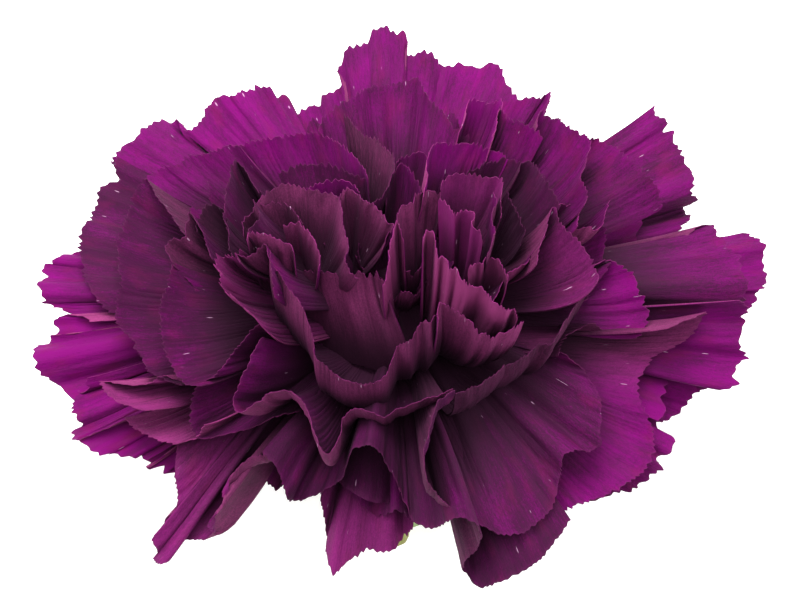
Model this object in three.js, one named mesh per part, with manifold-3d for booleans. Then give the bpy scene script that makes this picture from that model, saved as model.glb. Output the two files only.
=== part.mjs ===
// A cut carnation: one double flower head cut off just below its calyx, lying back on a flat surface.
// Millimetres. The flower is built upright round its own axis, with the throat of the calyx at the
// origin, and then leans back until its cut stub and two of its guard petals carry it.
import * as THREE from 'three';
import { mergeVertices } from 'three/addons/utils/BufferGeometryUtils.js';
import Module from 'manifold-3d';

const wasm = await Module();
wasm.setup();

// ---- driving dimensions, millimetres and degrees
const LEAN = 40;              // how far the flower's axis leans back from upright
const SEEN_FROM = 45;         // height of the eye over the flower's own level, for the outlines below
const EYE_DISTANCE = 600;     // from the eye to the throat
const BLADE = 0.6;            // thickness of a petal
const CLAW_WIDTH = 2;         // width of a petal's narrow foot
const TOOTH = 0.45;           // depth of the saw teeth along a rim
const RIM_STEP = 2.8;         // length of rim between two teeth
const CALYX_BOTTOM = -25;
const CALYX_RIM = -6;         // floor of the notches between the teeth of the calyx
const CALYX_TIP = -2.6;       // tips of those teeth
const CALYX_WALL = 0.7;
const CALYX_TEETH = 5;
const BRACT_TOP = -16.5;
const BRACT_NOTCH = -22.5;
const BRACT_WALL = 0.65;
const BRACTS = 4;
const STUB_END = -31.7;       // where the axis meets the surface that the flower lies on
const STUB_RADIUS = 1.75;
const STUB_CUT = STUB_END + STUB_RADIUS * Math.tan(THREE.MathUtils.degToRad(LEAN));   // straight across
const HEART = [[9, 3], [10.5, 6.5], [9.5, 10], [5, 12], [0, 12.5]];   // radius, height
const GAP = 0.35;             // clear space between neighbouring pieces
const CALYX_OUTLINE = [[3.6, CALYX_BOTTOM], [4.9, -23.5], [6.1, -19], [6.8, -13], [6.95, CALYX_RIM]];
const CALYX_FLARE = 0.07;     // how far the tips of its teeth lean out, as a share of the radius
const BRACT_OUTLINE = [[4.15, CALYX_BOTTOM + 0.1], [5.3, -23.6], [5.6, BRACT_NOTCH]];
const BRACT_FLARE = 0.26;
const CLAWS = [[3.2, CALYX_BOTTOM + CALYX_WALL + GAP], [4.6, -20], [5.6, -13], [5.8, -5], [6, 0]];
const STUB_TOP = CALYX_BOTTOM - GAP;
const STUB_SWELL = [[STUB_RADIUS, STUB_TOP - 2.4], [2.2, STUB_TOP - 1.1], [3.1, STUB_TOP]];

// ---- how finely the shapes are divided
const ROUND_SIDES = 40;
const STUB_SIDES = 24;
const CLAW_SIDES = 20;
const RIM_MEASURES = 400;     // steps in which a rim's length is measured
const MOST_QUARTERS = 5;      // a rim has at most four times as many steps
const MIDDLE_ROW = 0.55;      // where the row between a petal's foot and its rim stands
const WELD = 1e-4;            // points closer than this are one

// How each kind of petal grows: foot radius and height, how far it rises before it turns out, how
// far out it lies before it turns up, how much its rim turns up, and how far the rim's own direction
// reaches back. A petal may set its own, and also where its foot stands round the axis (az, degrees),
// the width of its claw and its bulge outwards (belly).
const KINDS = {
  droop: { foot: 4.2, footHeight: -1.5, rise: 0.42, lift: -0.55, hold: 0.34 },
  guard: { foot: 4.2, footHeight: -1.5, rise: 0.3, lift: -0.1, hold: 0.34 },
  spread: { foot: 3.6, footHeight: 0, rise: 0.3, lift: 0.15, hold: 0.34 },
  erect: { foot: 2.8, footHeight: 1, rise: 0.22, lift: 0.9, hold: 0.36 },
  inner: { foot: 1.6, footHeight: 2, rise: 0.25, lift: 0.9, hold: 0.34 },
  cup: { foot: 2, footHeight: 2, rise: 0, out: 0.5, lift: 2.4, hold: 0.5 },
};

// Rims of the petals that can be seen from the front, each along its outline as [across, up] from
// the throat, with the rim's height over the throat as a third number wherever it is set, and as a
// fourth how far its blade curls over there: degrees over level.
const SEEN_PETALS = [
  { name: 'frontDrop', kind: 'droop', rim: [
    [-7.2, -16, -5], [-6.8, -18.5], [-6.5, -21, -11], [-6.4, -23.3], [-5.8, -24.4, -12], [-4.8, -23.5],
    [-3.6, -22.6], [-2.2, -22, -10], [-0.8, -22.2], [-0.1, -22.1], [0.4, -21.7], [0.7, -21.1],
    [1.2, -20.6, -9], [2, -19.8], [2.3, -17.8, -6]] },
  { name: 'frontFold', kind: 'droop', rise: 0.33, rim: [
    [-13, -12.2, 1], [-11.6, -13.7, 0], [-11, -15.4, -2], [-10.5, -16.9], [-9.7, -17.1, -5],
    [-8.5, -16.8], [-7.2, -16.3, -4], [-5.9, -15.4], [-4.7, -14.7, -1], [-4.4, -13.2, 1.5],
    [-3.8, -12, 3.5], [-2.6, -11.4, 5], [-1.3, -11.9, 4.5], [-0.4, -13.5, 2.5], [0.4, -15.5, 0.5],
    [1.3, -17.6, -1.5], [2.1, -19.1, -2.5], [3.7, -19.8, -2], [5.3, -19.3, 0], [6.8, -18.7, 1.5],
    [8, -19.3, 1.5], [8.7, -20.5, 0], [8.5, -21.8, -3], [7.5, -23, -5], [7.5, -24.4, -8],
    [8.6, -25.7, -9], [11.3, -25], [14.8, -23, -6], [16.4, -21], [17.9, -19, -5]] },
  { name: 'leftDroop', kind: 'droop', rim: [
    [-21.4, -11.2, -2, -25], [-21.7, -14.5], [-21.4, -16.5, -5], [-21.6, -17.8], [-22.7, -19.2, -7],
    [-24, -21], [-23.6, -21.9], [-23.8, -22.8, -10], [-23.2, -23.5], [-21.9, -22.8],
    [-20.8, -21.1, -9, -30], [-18.7, -20.8, -8, 20], [-17.9, -19.6, -6.5, 90],
    [-17.8, -18.3, -4.5, 135], [-16.4, -16.7, -3, 150], [-16.2, -14.7, -1.5, 140],
    [-14.9, -13.3, -0.5, 120], [-13, -12.5, 0, 90], [-11.6, -13.2, -1, 40], [-11.3, -12.5, -1, 20]] },
  { name: 'leftLow2', kind: 'guard', rim: [
    [-31.6, -10.8, -4], [-30.6, -11.7], [-28.9, -12.5, -5], [-27.8, -12.3], [-26.9, -12.7, -5],
    [-25.8, -12.6], [-25.1, -12.2], [-24.4, -13, -5]] },
  { name: 'leftRidge', kind: 'guard', rim: [
    [-30.6, -4.8, -2], [-30.4, -5.8], [-31.4, -6.5, -4], [-32, -7.8], [-31.6, -8.9, -4], [-31, -9.4],
    [-31.8, -10.1, -5], [-31.6, -10.8], [-29.2, -10.1, -3], [-26.7, -9, -2]] },
  { name: 'leftPale', kind: 'spread', rise: 0.16, lift: 0.3, rim: [
    [-20.2, -5.4, 4.5], [-21.4, -5], [-22.9, -4.6, 4], [-24.2, -5.3], [-25.7, -5.5, 3.5],
    [-27.7, -5.3], [-29.2, -5.1, 3], [-28.8, -6.1], [-27.9, -6.8, 2.5], [-26.7, -7.5],
    [-24.7, -8, 2.5], [-22.7, -7.8]] },
  { name: 'leftPaleLow', kind: 'spread', rise: 0.2, lift: 0.3, rim: [
    [-26.7, -8.7, -1], [-26, -9.7], [-24.6, -10.4, -1], [-23.2, -11], [-21.7, -11.3, 0],
    [-20.6, -11.1], [-19.5, -10.7, 1], [-18.8, -9.5, 3]] },
  { name: 'leftLowV', kind: 'guard', rim: [
    [-30, 0.8, 0], [-32, 1.4], [-34, 1, -1], [-33.4, 0], [-34.2, -0.5], [-34.4, -1.7, -3],
    [-35.7, -1.9], [-35.6, -3.2, -2], [-35.2, -4.4], [-34, -5.2, -4], [-33, -5.8], [-31.9, -7.2, -5]] },
  { name: 'leftTip', kind: 'guard', rim: [
    [-31.2, 8, 0], [-32.8, 7.6], [-34, 6.8, 0], [-35, 6.3], [-34.4, 5.1, -1], [-35.3, 4.6],
    [-35.1, 3.6, 0], [-34.7, 2.9], [-35, 2.5, -1], [-33.4, 2.3], [-31.8, 1.5, -1]] },
  { name: 'leftOuter', kind: 'guard', rim: [
    [-27.6, 17.4, 4], [-27.7, 16.3], [-27.5, 15, 3], [-28.6, 14.7], [-29.3, 13.8], [-29.6, 12.7, 2],
    [-30.2, 11.7], [-30.2, 10.7, 2], [-30.9, 10.1], [-31.2, 8.9], [-31.2, 8, 2], [-30.9, 6.5],
    [-30.5, 4.8, 2], [-29.5, 3], [-28.4, 1.7, 1]] },
  { name: 'leftMid', kind: 'spread', rim: [
    [-20.6, 9.4, 12], [-22, 11.3], [-23.5, 13.3, 10], [-24.7, 15.2, 9], [-25.8, 13.8],
    [-26.1, 12.6, 7], [-26.7, 10.9], [-27.4, 9.2, 6], [-27.4, 7.2], [-27.2, 5.2, 6], [-27.4, 3.2],
    [-27.7, 1.4, 4], [-26.6, -0.3], [-25.4, -2.2, 4], [-24.4, -4], [-22.7, -5, 4], [-21, -5.5, 5]] },
  { name: 'bigRight', kind: 'spread', rim: [
    [6.3, -6, 11, 85], [4.8, -7, 10.5, 90], [3.8, -9, 9.5, 95], [3.4, -11.5, 8, 95], [3.4, -14, 6, 95],
    [4.2, -16.2, 3.5, 85], [5.8, -17.7, 1.5, 65], [7.8, -18.7, 0, 40], [9.8, -20, -2, 10],
    [11.3, -20.5, -3, -10], [13, -20.3, -3.5, -20], [14.6, -19.2], [15.8, -18, -3], [16.4, -16.8],
    [16.6, -15.4, -2], [17, -14], [17, -12.9, 0, -10], [18.3, -11.9, 0.5], [19.8, -12.2, -0.5],
    [20.8, -11.4], [20.8, -10, 1], [21, -8.3], [20.7, -6.5, 3, -15], [19.7, -4.9], [18.5, -3.4, 5, 5],
    [17, -2.2, 6, 25]] },
  { name: 'rightWide', kind: 'spread', az: -30, foot: 7, rise: 0.16, rim: [
    [16.8, -18.3, -6], [18.8, -17.4], [20.8, -16.7, -5], [23, -15.7], [24.8, -14.5, -4], [25.9, -12.8],
    [26.3, -11, -3], [25.8, -9.2], [24.9, -7.3, -1], [24.6, -5.8], [25.2, -4, 0.5], [26.3, -2.6],
    [28, -1.8, 2], [29.6, -0.8], [30.5, 0.3, 3.5], [31.4, 1.8, 5], [29.8, 1.1], [27.7, 0.2, 6.5]] },
  { name: 'rightMid', kind: 'spread', rim: [
    [18.5, 4, 9], [19.6, 5.8], [20.6, 6.8, 10], [22, 6.9], [23, 6.4, 9], [24, 5.6], [24.5, 4.6, 8],
    [24.6, 3.7], [25.4, 3.1, 7], [25.1, 2.4], [25.8, 1.8, 6], [25.5, 0.8], [25.1, -0.1, 5],
    [24.5, -0.8, 4.5]] },
  { name: 'rightStrip', kind: 'guard', rim: [
    [30.8, 1.4, 1.5], [31.6, 1.5], [31.9, 0.6, 0.5], [32, -0.3], [31.1, -1.1, 0], [30.2, -1.5],
    [29.9, -2.7, -1], [28.8, -3.2], [27.6, -4, -2], [27.5, -5.5], [27, -7, -3], [27.3, -8],
    [26.8, -9.2, -4]] },
  { name: 'rightLow', kind: 'guard', rim: [
    [27, -8.5, -5], [26.5, -9.7], [28.3, -11, -6], [27.8, -12.2], [26.4, -12.8, -7], [27, -13.8],
    [25.8, -14.6, -7], [25.9, -15.1], [24.4, -15.4], [24.5, -15.9], [23.6, -16, -7], [22, -16.4, -8],
    [19.8, -17.3]] },
  { name: 'farRight2', kind: 'guard', rim: [
    [23.8, 6.6, 4], [25.3, 7.3], [26.4, 7.8, 4.5], [27.6, 8.4], [28.3, 9.1, 5], [29.3, 9.4],
    [30.6, 10.1, 5], [32.1, 10.5], [32.4, 9.6, 5], [33.1, 9.2], [33.6, 8.1, 5], [34.4, 7.5],
    [34.9, 6.6, 4.5], [35.2, 5.7], [35.6, 4.9, 4], [35.3, 3.8], [35.2, 3, 2.5], [34.6, 2.2, 1]] },
  { name: 'farRight3', kind: 'guard', az: -14, foot: 6.5, rise: 0.15, rim: [
    [34.9, 3, 6.5], [35.5, 2.1, 5], [35.1, 1.4, 4], [35.3, 0.8], [34.8, -0.3, 2.5], [34.8, -1.5, 1.5],
    [35.5, -2.7, 0], [34.5, -3.6], [34.2, -4.5, -1], [34.5, -5.4], [33, -6, -2], [31.3, -5.7],
    [29.8, -5, -3], [27.6, -4.4, -3]] },
  { name: 'farRight1', kind: 'guard', rim: [
    [31.4, 8.8, 0.5], [32.8, 9.4], [34.4, 9.4, 1], [35.3, 9.7], [36, 9.3, 1], [36.8, 9],
    [37.4, 8.2, 1], [37.1, 7.4], [37.2, 6.4, 0], [37.5, 5.3], [37, 4.1, 0], [36.4, 3.7],
    [36.4, 2.8, -1], [35.8, 2.4], [35.4, 1.6, -1]] },
  { name: 'upperRight', kind: 'guard', rim: [
    [26.3, 22.5, 5], [26.5, 21.3], [27.5, 21], [27.3, 20.1], [28.2, 19.9, 4], [28.1, 18.9],
    [28.8, 18.2], [29.1, 17.2, 3], [29.7, 16.2], [30.2, 15], [29.9, 13.8, 2], [30.5, 13],
    [29.1, 12.1, -1], [29.8, 11.4], [28.9, 10.3, 0], [28, 9.3], [26.9, 9, -2], [25.8, 7.8],
    [24, 6.8, -3]] },
  { name: 'brightRight', kind: 'spread', rim: [
    [19.4, 18.9, 12], [20.4, 19.2], [21.2, 18.7, 11], [22.1, 18.4], [23.2, 17.7, 11], [24.1, 16.7],
    [25.3, 15.7, 10], [26.3, 14.6], [26.8, 13.4, 8], [27.1, 12.2, 7]] },
  { name: 'topRight', kind: 'erect', rim: [
    [14.5, 20.2, 14], [14.9, 21.8], [15.7, 21.3, 13], [16.8, 21], [17.9, 20.2, 14], [19, 19.6],
    [19.7, 18.8, 14], [19.4, 17], [19.1, 15.3, 15], [19.5, 13.8], [19.2, 12.4, 15]] },
  { name: 'topPanel', kind: 'erect', rim: [
    [6.6, 19.5, 15], [7.2, 21.2], [7.9, 23, 15], [8.8, 22.9], [9.7, 22.6, 14], [10.8, 23],
    [10.7, 21.5, 15], [10, 19, 17]] },
  { name: 'topPanel2', kind: 'erect', rim: [
    [10.8, 22.6, 15], [11.5, 21.2], [12.8, 20.7, 15], [14.3, 20.2], [15.1, 19.2, 14]] },
  { name: 'topCurl', kind: 'spread', rim: [
    [11.1, 22.9, 11], [12.7, 23], [13.8, 23.3, 11], [14.8, 23.2], [15.6, 23.7, 11], [15.9, 23.1],
    [15.4, 21.8, 12]] },
  { name: 'backRight', kind: 'guard', rim: [
    [4, 27.4, 9], [4.9, 26.4], [5.9, 26.4, 9], [6.8, 26.7], [8, 26.4, 9], [9.1, 26.5], [9.9, 26.7, 9],
    [10.8, 26.2], [11.3, 25, 9], [12, 23.9], [13, 23, 9], [14.3, 21.8, 8]] },
  { name: 'backCrest', kind: 'guard', rim: [
    [-4.6, 24.6, 9], [-5.4, 26.2], [-4.8, 27.4, 10], [-4.2, 28.4], [-2.6, 28.5, 10], [-1.8, 29.8],
    [-0.5, 30.2, 11], [0.4, 29.7], [1.3, 29.9, 11], [1.7, 28.8], [1.7, 27.7, 10], [3.2, 27.8],
    [4.1, 27.4, 10], [4.9, 26.2, 9]] },
  { name: 'backLeft', kind: 'guard', rim: [
    [-4.4, 24.8, 7], [-5.9, 23.9], [-6.8, 23.5, 6], [-7.3, 22.6], [-8.2, 22.4, 6], [-9.4, 21.4],
    [-10.4, 20, 5]] },
  { name: 'backMiddle', kind: 'spread', rim: [
    [-7.4, 20.2, 13], [-6.2, 21.8], [-4, 23.4, 14], [-2.6, 24.1], [-1.1, 24.5, 14], [0.3, 24.6],
    [1.5, 25, 15], [2.7, 25], [3.4, 23.8, 14], [4.2, 22.7], [5.2, 21.5, 14], [6.3, 20.2],
    [7.8, 19.2, 13]] },
  { name: 'leftBack1', kind: 'spread', rim: [
    [-24.7, 15.2, 7], [-23.2, 16.1], [-21.7, 16.5, 8], [-20.6, 17.2], [-19.2, 17.5, 9], [-17.7, 18],
    [-16.2, 18.4, 11], [-15.2, 18.4, 12]] },
  { name: 'leftBack2', kind: 'erect', rim: [
    [-15.4, 18.4, 11], [-14, 18.8], [-12.6, 19.2, 12], [-11.1, 19.2], [-9.7, 19.6, 13], [-8.3, 19.7],
    [-7, 19.5, 14], [-5.6, 18.9], [-4.2, 17.8, 15], [-3.1, 16.4], [-2.4, 15.2, 15]] },
  { name: 'leftPleat', kind: 'guard', rim: [
    [-20.8, 19.9, 5], [-19.8, 20.2], [-19.2, 21, 6], [-18.4, 22.4], [-17.8, 23.1, 6], [-17, 23.4],
    [-15.8, 23.4, 7], [-15.1, 23.9], [-14.2, 23.8, 7], [-13.5, 24.4], [-12.5, 24.2, 7], [-11.6, 23.5],
    [-10.6, 23.2, 6], [-10, 22.3], [-9.3, 21.3, 5]] },
  { name: 'leftBackLow', kind: 'guard', rim: [
    [-28.1, 16.7, 1.5], [-27.7, 17.5, 3], [-26.5, 18.7], [-25.5, 19], [-25.1, 19.9, 4], [-24, 20.5],
    [-23, 21, 4], [-22.2, 20.9], [-21.3, 20.2, 4], [-20.2, 19.6]] },
  { name: 'leftInner', kind: 'spread', rim: [
    [-22, 6.8, 11], [-22.1, 5.5], [-22.6, 4.2, 10], [-23.2, 2.7], [-23.2, 0.8, 9], [-22.9, -1.2],
    [-22.4, -2.8, 8], [-21.6, -4.4], [-20.6, -5.4, 7], [-19.4, -5.6, 7]] },
  { name: 'leftUpper', kind: 'erect', rim: [
    [-21.8, 6.4, 11], [-22.6, 8], [-22.1, 9, 12], [-20.9, 9.3], [-20.6, 10.6, 13], [-20.3, 11.7],
    [-19.5, 10.8, 14], [-18.8, 9.2], [-18.1, 7.2, 14]] },
  { name: 'leftLoop', kind: 'erect', rim: [
    [-19.5, 9.8, 13], [-19.3, 11.4], [-18.6, 12.4, 14], [-17.6, 12.6], [-16.8, 12.1, 14],
    [-16.5, 10.5], [-16.3, 8, 15]] },
  { name: 'leftFront', kind: 'spread', rim: [
    [-13, 0.8, 12], [-14, -0.1], [-14.9, -1, 10], [-15.5, -1.8], [-16.1, -2.7, 8], [-17, -3.5],
    [-17.8, -4.6, 7], [-19, -5.2], [-19.6, -5.9, 5], [-20.2, -8.2, 3], [-19.3, -10.8, 1],
    [-16.7, -10.4], [-14.2, -9.8, 2], [-11.7, -8.8], [-9.2, -8.1, 4]] },
  { name: 'frontRuffle', kind: 'cup', out: 0.25, hold: 0.4, rim: [
    [-13, -0.7, 11, 45], [-14, -2.2], [-14.7, -4, 9], [-15.4, -5.8], [-15.9, -7.1, 6, 45],
    [-15.2, -8.1], [-14, -7.5], [-13, -7.1, 7], [-12.7, -6.5], [-11.4, -6.2], [-10.8, -6, 8, 65],
    [-9.2, -6.9, 7.5, 85], [-8.4, -8, 6.5], [-7.9, -9.8, 5.5], [-7.3, -11.4, 4.5],
    [-6.5, -12.3, 3.5, 85], [-5.7, -11.6, 4], [-5.1, -10, 5], [-5, -8.8, 6], [-4, -8, 7, 75],
    [-3.2, -7.9, 7.5], [-2, -8.3, 7], [-0.8, -8.7, 6.5, 75], [0.4, -8], [2, -7.4, 8], [3.6, -6.7],
    [5, -6.4, 9], [6.1, -5.8, 10, 70]] },
  { name: 'whorlLeftBack', kind: 'inner', az: 190, foot: 8, footHeight: 4, rim: [
    [-14.9, 9.5, 15.5], [-14.8, 10.8], [-14, 11.8, 16.5], [-13.4, 12.8], [-12.6, 13.8],
    [-11.6, 14.3, 16.5], [-10.7, 14.6], [-9.2, 14.4, 17], [-8, 14], [-6.4, 13.7, 17.5], [-5.6, 13.4],
    [-5.1, 12.4, 18], [-4.9, 11.2], [-4.7, 9.8, 18], [-4.4, 8.4], [-4.7, 7, 17], [-4.2, 5.9],
    [-3.4, 5.1, 15.5]] },
  { name: 'whorlLeftCrest', kind: 'inner', az: 150, foot: 6, footHeight: 4, rim: [
    [-8.6, 14.2, 16], [-6.7, 14.8], [-5.1, 15, 16], [-4, 14.6], [-3.2, 13.8, 15.5]] },
  { name: 'whorlLeftRight', kind: 'inner', az: 170, foot: 4, footHeight: 4, rim: [
    [-5.3, 13.3, 16], [-4.6, 14.2], [-3.8, 13.9, 16], [-2.9, 13], [-2, 12.6, 17], [-1.2, 11.8],
    [-0.6, 10.8, 17], [0.1, 10.6], [-0.3, 9.4, 17], [-0.8, 8.3, 16]] },
  { name: 'cupLeftBack', kind: 'inner', az: 190, foot: 8.5, footHeight: 4, rim: [
    [-13.7, 12.7, 16], [-13, 12.6], [-11.8, 12.6, 16], [-10.7, 12.4], [-9.5, 11.5, 16.5],
    [-8.9, 10.6, 16.5]] },
  { name: 'cupLeftFront', kind: 'cup', az: 195, foot: 8, footHeight: 4, rim: [
    [-14.5, 9, 18], [-14.2, 9.7], [-13.4, 9.8, 18.5], [-12.2, 9.6], [-11.1, 8.9, 18.5], [-10.2, 8.6],
    [-9.8, 7.8, 17.5]] },
  { name: 'cupLeftRight', kind: 'inner', az: 195, foot: 8.5, footHeight: 4, rim: [
    [-10.9, 10.4, 17], [-9.6, 10.8], [-8.8, 10.4, 17.5], [-8.1, 9.4], [-7.6, 8.4, 17.5], [-7.2, 7.2],
    [-7.4, 6, 16]] },
  { name: 'fringed', kind: 'erect', rim: [
    [-14.5, 7.8, 16], [-15.6, 7.4], [-17.1, 7.4, 15], [-17.6, 6.4], [-17, 5.6, 15], [-17.3, 4.7],
    [-16.6, 3.9, 14], [-15.7, 3, 14], [-14.5, 1.9], [-13.4, 0.8, 13], [-12.5, -0.1], [-11.6, -0.8, 11]] },
  { name: 'frontBowl', kind: 'cup', belly: 2.2, rim: [
    [-12.2, 8, 18], [-12, 6.6], [-11, 5.3, 17], [-10.2, 3.9], [-9.2, 2.7, 15.5], [-8.4, 1],
    [-7.9, -0.8, 12.5], [-7.6, -2.8, 11], [-6.6, -3.6], [-5.4, -4.6, 9], [-3.6, -5.4, 8.5],
    [-2, -5.3, 8.5], [-0.9, -4.7], [-0.1, -3.3, 9.5], [0.6, -1.6], [1.9, -1, 12], [2.3, -0.1],
    [3.1, 0.9, 14], [3.9, 0.7], [4.5, 1.8, 15], [5, 2.9, 16]] },
  { name: 'bowlInner', kind: 'inner', az: -112, foot: 8.6, footHeight: 3.2, claw: 12, rim: [
    [-9.5, 5.8, 12.5], [-8.2, 6], [-7, 5.9, 14], [-5.8, 5.5], [-4.6, 5.1, 14], [-4, 5.4],
    [-3.2, 5.6, 14], [-2.4, 5.3], [-1.6, 5.8, 14], [-0.8, 5]] },
  { name: 'centreTall', kind: 'cup', az: -45, foot: 2, rim: [
    [-0.9, 4.4, 15], [-0.6, 5.6], [-0.3, 6.8, 17], [-0.4, 8], [0.1, 9.4, 18], [0.5, 10.8, 18.5],
    [0.9, 10.2, 18], [1.2, 8.8, 16.5]] },
  { name: 'centreHood', kind: 'inner', az: -20, foot: 2.5, rim: [
    [0.5, 10.8, 17], [1, 12.3], [2, 12.8, 17.5], [2.3, 13.5], [3.1, 13.7, 17.5], [3.8, 13.9],
    [4.6, 13.6, 17], [4.9, 12.4, 16.5]] },
  { name: 'rightPale', kind: 'cup', az: -42, foot: 4.5, footHeight: 3, rim: [
    [3.1, 8.9, 19], [3.5, 9.9, 19], [4.1, 9.6], [4.4, 8.4, 18.5], [4.6, 7.3], [5.1, 7.3, 18],
    [5.6, 6.8], [5.8, 6.2], [6.5, 6.2, 18], [6.9, 5.3], [7.8, 4.4, 17], [8.9, 4.3], [9.7, 3.5, 16],
    [10.6, 2.4], [11.4, 2, 15], [12.2, 2.1], [12.5, 1, 13]] },
  { name: 'whorlRightBack', kind: 'inner', az: 15, foot: 6, footHeight: 4, rim: [
    [4.8, 14.3, 17], [5.8, 15.4], [7.3, 15.7, 17], [8.6, 15.5], [9.8, 15.2, 17], [10.7, 15.1],
    [10.9, 13.4, 17], [10.9, 11.2, 16]] },
  { name: 'mauveFold', kind: 'inner', rim: [
    [3.2, 13.4, 18], [3.4, 15.2], [3.7, 17, 18], [4.2, 18.6], [5.5, 18.7, 17], [7, 18.6],
    [8.6, 18.5, 16], [10.2, 17.9], [11.6, 17, 15]] },
  { name: 'whorlRightPale', kind: 'cup', az: -10, foot: 5.5, footHeight: 4, rim: [
    [4.6, 13, 18], [5.3, 12.7], [5.9, 11.9, 18], [6.3, 11.5], [6.9, 12.1, 18], [7.8, 11.9],
    [8.3, 11.4, 18], [8.1, 10.5], [8.8, 9.9, 17], [9.1, 8.7, 16]] },
  { name: 'whorlRightLow', kind: 'cup', az: -25, foot: 7, footHeight: 4, rim: [
    [7.6, 6.2, 16], [8.4, 6.8], [9, 6.7, 16], [9.6, 7.2], [10.5, 7, 16], [11.1, 6.2], [11.6, 5.1, 15]] },
  { name: 'darkTip', kind: 'inner', az: 5, foot: 8.5, footHeight: 4, rim: [
    [11.4, 13.8, 14], [12.1, 12.6], [12.6, 11.8, 15], [12.9, 10.7], [13.3, 9.8, 15], [12.8, 8.3, 14]] },
  { name: 'rolledRim', kind: 'erect', rim: [
    [12.7, 15.8, 16], [13.2, 16.7], [14, 16.7, 16], [14.8, 15.8], [15.5, 14.8, 17], [16.2, 13.7],
    [16.9, 12.4, 16]] },
  { name: 'smallRight', kind: 'erect', rim: [
    [16.1, 11.6, 14], [16.6, 12.5], [17.6, 12.5, 13], [18.5, 12.7], [18.7, 11.7], [18.5, 10.3, 14]] },
  { name: 'bigPointed', kind: 'erect', rim: [
    [14.5, 6.6, 15], [15, 9], [15.6, 10.8, 16], [16.1, 12.2], [16.8, 10.8, 15], [17.8, 9.7],
    [18.7, 8.7, 14], [19.6, 7.6], [20.3, 6.4, 13], [20.6, 5.2], [19.8, 3.8, 13]] },
  { name: 'windowPetal', kind: 'erect', rim: [
    [18.3, 10, 12], [19.4, 10.3], [20.2, 10.1, 12], [20.9, 10.4], [21.3, 11.5, 12], [21.7, 12.8]] },
  { name: 'frontRight', kind: 'cup', belly: 1.2, rim: [
    [19.6, 4.3, 10.5], [19.1, 3.6], [18.3, 2.6, 10.5], [17.5, 1.3], [16.8, -0.1, 10], [16.1, -1.2],
    [14.8, -1.5, 9], [13.7, -2.3], [12.7, -3, 9], [11.3, -3.5], [10.4, -4.4, 9], [9.1, -5.2],
    [7.8, -5.8, 9], [6.4, -6.3, 9]] },
  { name: 'mPetal', kind: 'cup', az: -50, foot: 5, footHeight: 3, rim: [
    [4.5, 0.5, 15], [4.8, 2.8, 16], [5.7, 2.3, 15.5], [6.9, 1.5], [8, 0.7, 14], [8.6, -0.2],
    [9.3, -0.4], [10, -0.9, 12.5], [10.7, -0.3], [11.6, -0.1, 13], [12.5, 0.4], [13.2, 1, 14]] },
  { name: 'topLeaf', kind: 'inner', az: 140, foot: 3.5, footHeight: 4, rim: [
    [-4.8, 21.6, 13.5], [-4, 20.6], [-3, 19.6, 14.5], [-2.2, 19.3], [-1.6, 19.2], [-0.8, 18.3, 15.5],
    [-0.2, 17.8], [0.1, 16.7, 16], [-0.1, 15.2], [-0.8, 13.5, 16.5], [-2, 12.4, 16]] },
];

// Petals that stand behind those: how many of each, where they start and end round the axis, the
// rim's radius and height, its width in degrees, and its waves.
const HIDDEN_RINGS = [
  { kind: 'guard', count: 2, from: 52, to: 128, radius: 35.5, height: -9.4, width: 34, wave: 0.9 },
  { kind: 'guard', count: 4, from: 4, to: 176, radius: 31.5, height: -5.5, width: 40, wave: 1.6 },
  { kind: 'guard', count: 3, from: 40, to: 140, radius: 29, height: 1.5, width: 46, wave: 1.8 },
  { kind: 'droop', count: 3, from: 222, to: 330, radius: 20, height: -6, width: 40, wave: 1.4 },
];

const UP = new THREE.Vector3(0, 0, 1);
const radians = THREE.MathUtils.degToRad;

// ---- placing an outline point in space

// The point at a given height that the eye sees at [across, up].
function place(across, up, height) {
  const sine = Math.sin(radians(SEEN_FROM));
  const cosine = Math.cos(radians(SEEN_FROM));
  const near = (height - up * cosine) / (sine - up * cosine / EYE_DISTANCE);
  const scale = 1 - near / EYE_DISTANCE;
  const x = across * scale;
  const y = up * scale;
  return new THREE.Vector3(x, y * sine - near * cosine, y * cosine + near * sine);
}

// Numbers that stand at some points only run evenly between them.
function spreadOut(outline, rank) {
  const known = outline.map((point, index) => index).filter((index) => outline[index].length > rank);
  return outline.map((point, index) => {
    const after = known.find((other) => other >= index) ?? known.at(-1) ?? 0;
    const before = known.filter((other) => other <= index).at(-1) ?? known[0] ?? 0;
    const share = after > before ? (index - before) / (after - before) : 0;
    return THREE.MathUtils.lerp(outline[before][rank] ?? 0, outline[after][rank] ?? 0, share);
  });
}

function seenRim(outline) {
  const heights = spreadOut(outline, 2);
  return outline.map((point, index) => place(point[0], point[1], heights[index]));
}

// A rim on an arc round the axis, with even waves in its height and radius.
function ringRim(ring, index) {
  const points = 9;
  const turn = (index * 0.618034) % 1;
  const middle = THREE.MathUtils.lerp(ring.from, ring.to, index / (ring.count - 1));
  return Array.from({ length: points }, (unused, step) => {
    const share = step / (points - 1) - 0.5;
    const angle = radians(middle + share * ring.width);
    const wave = Math.sin((share * 3 + turn) * 2 * Math.PI) * ring.wave;
    const radius = ring.radius * (1 - 0.5 * share * share) + wave * 0.4;
    return new THREE.Vector3(radius * Math.cos(angle), radius * Math.sin(angle), ring.height + wave);
  });
}

// ---- petals

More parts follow.
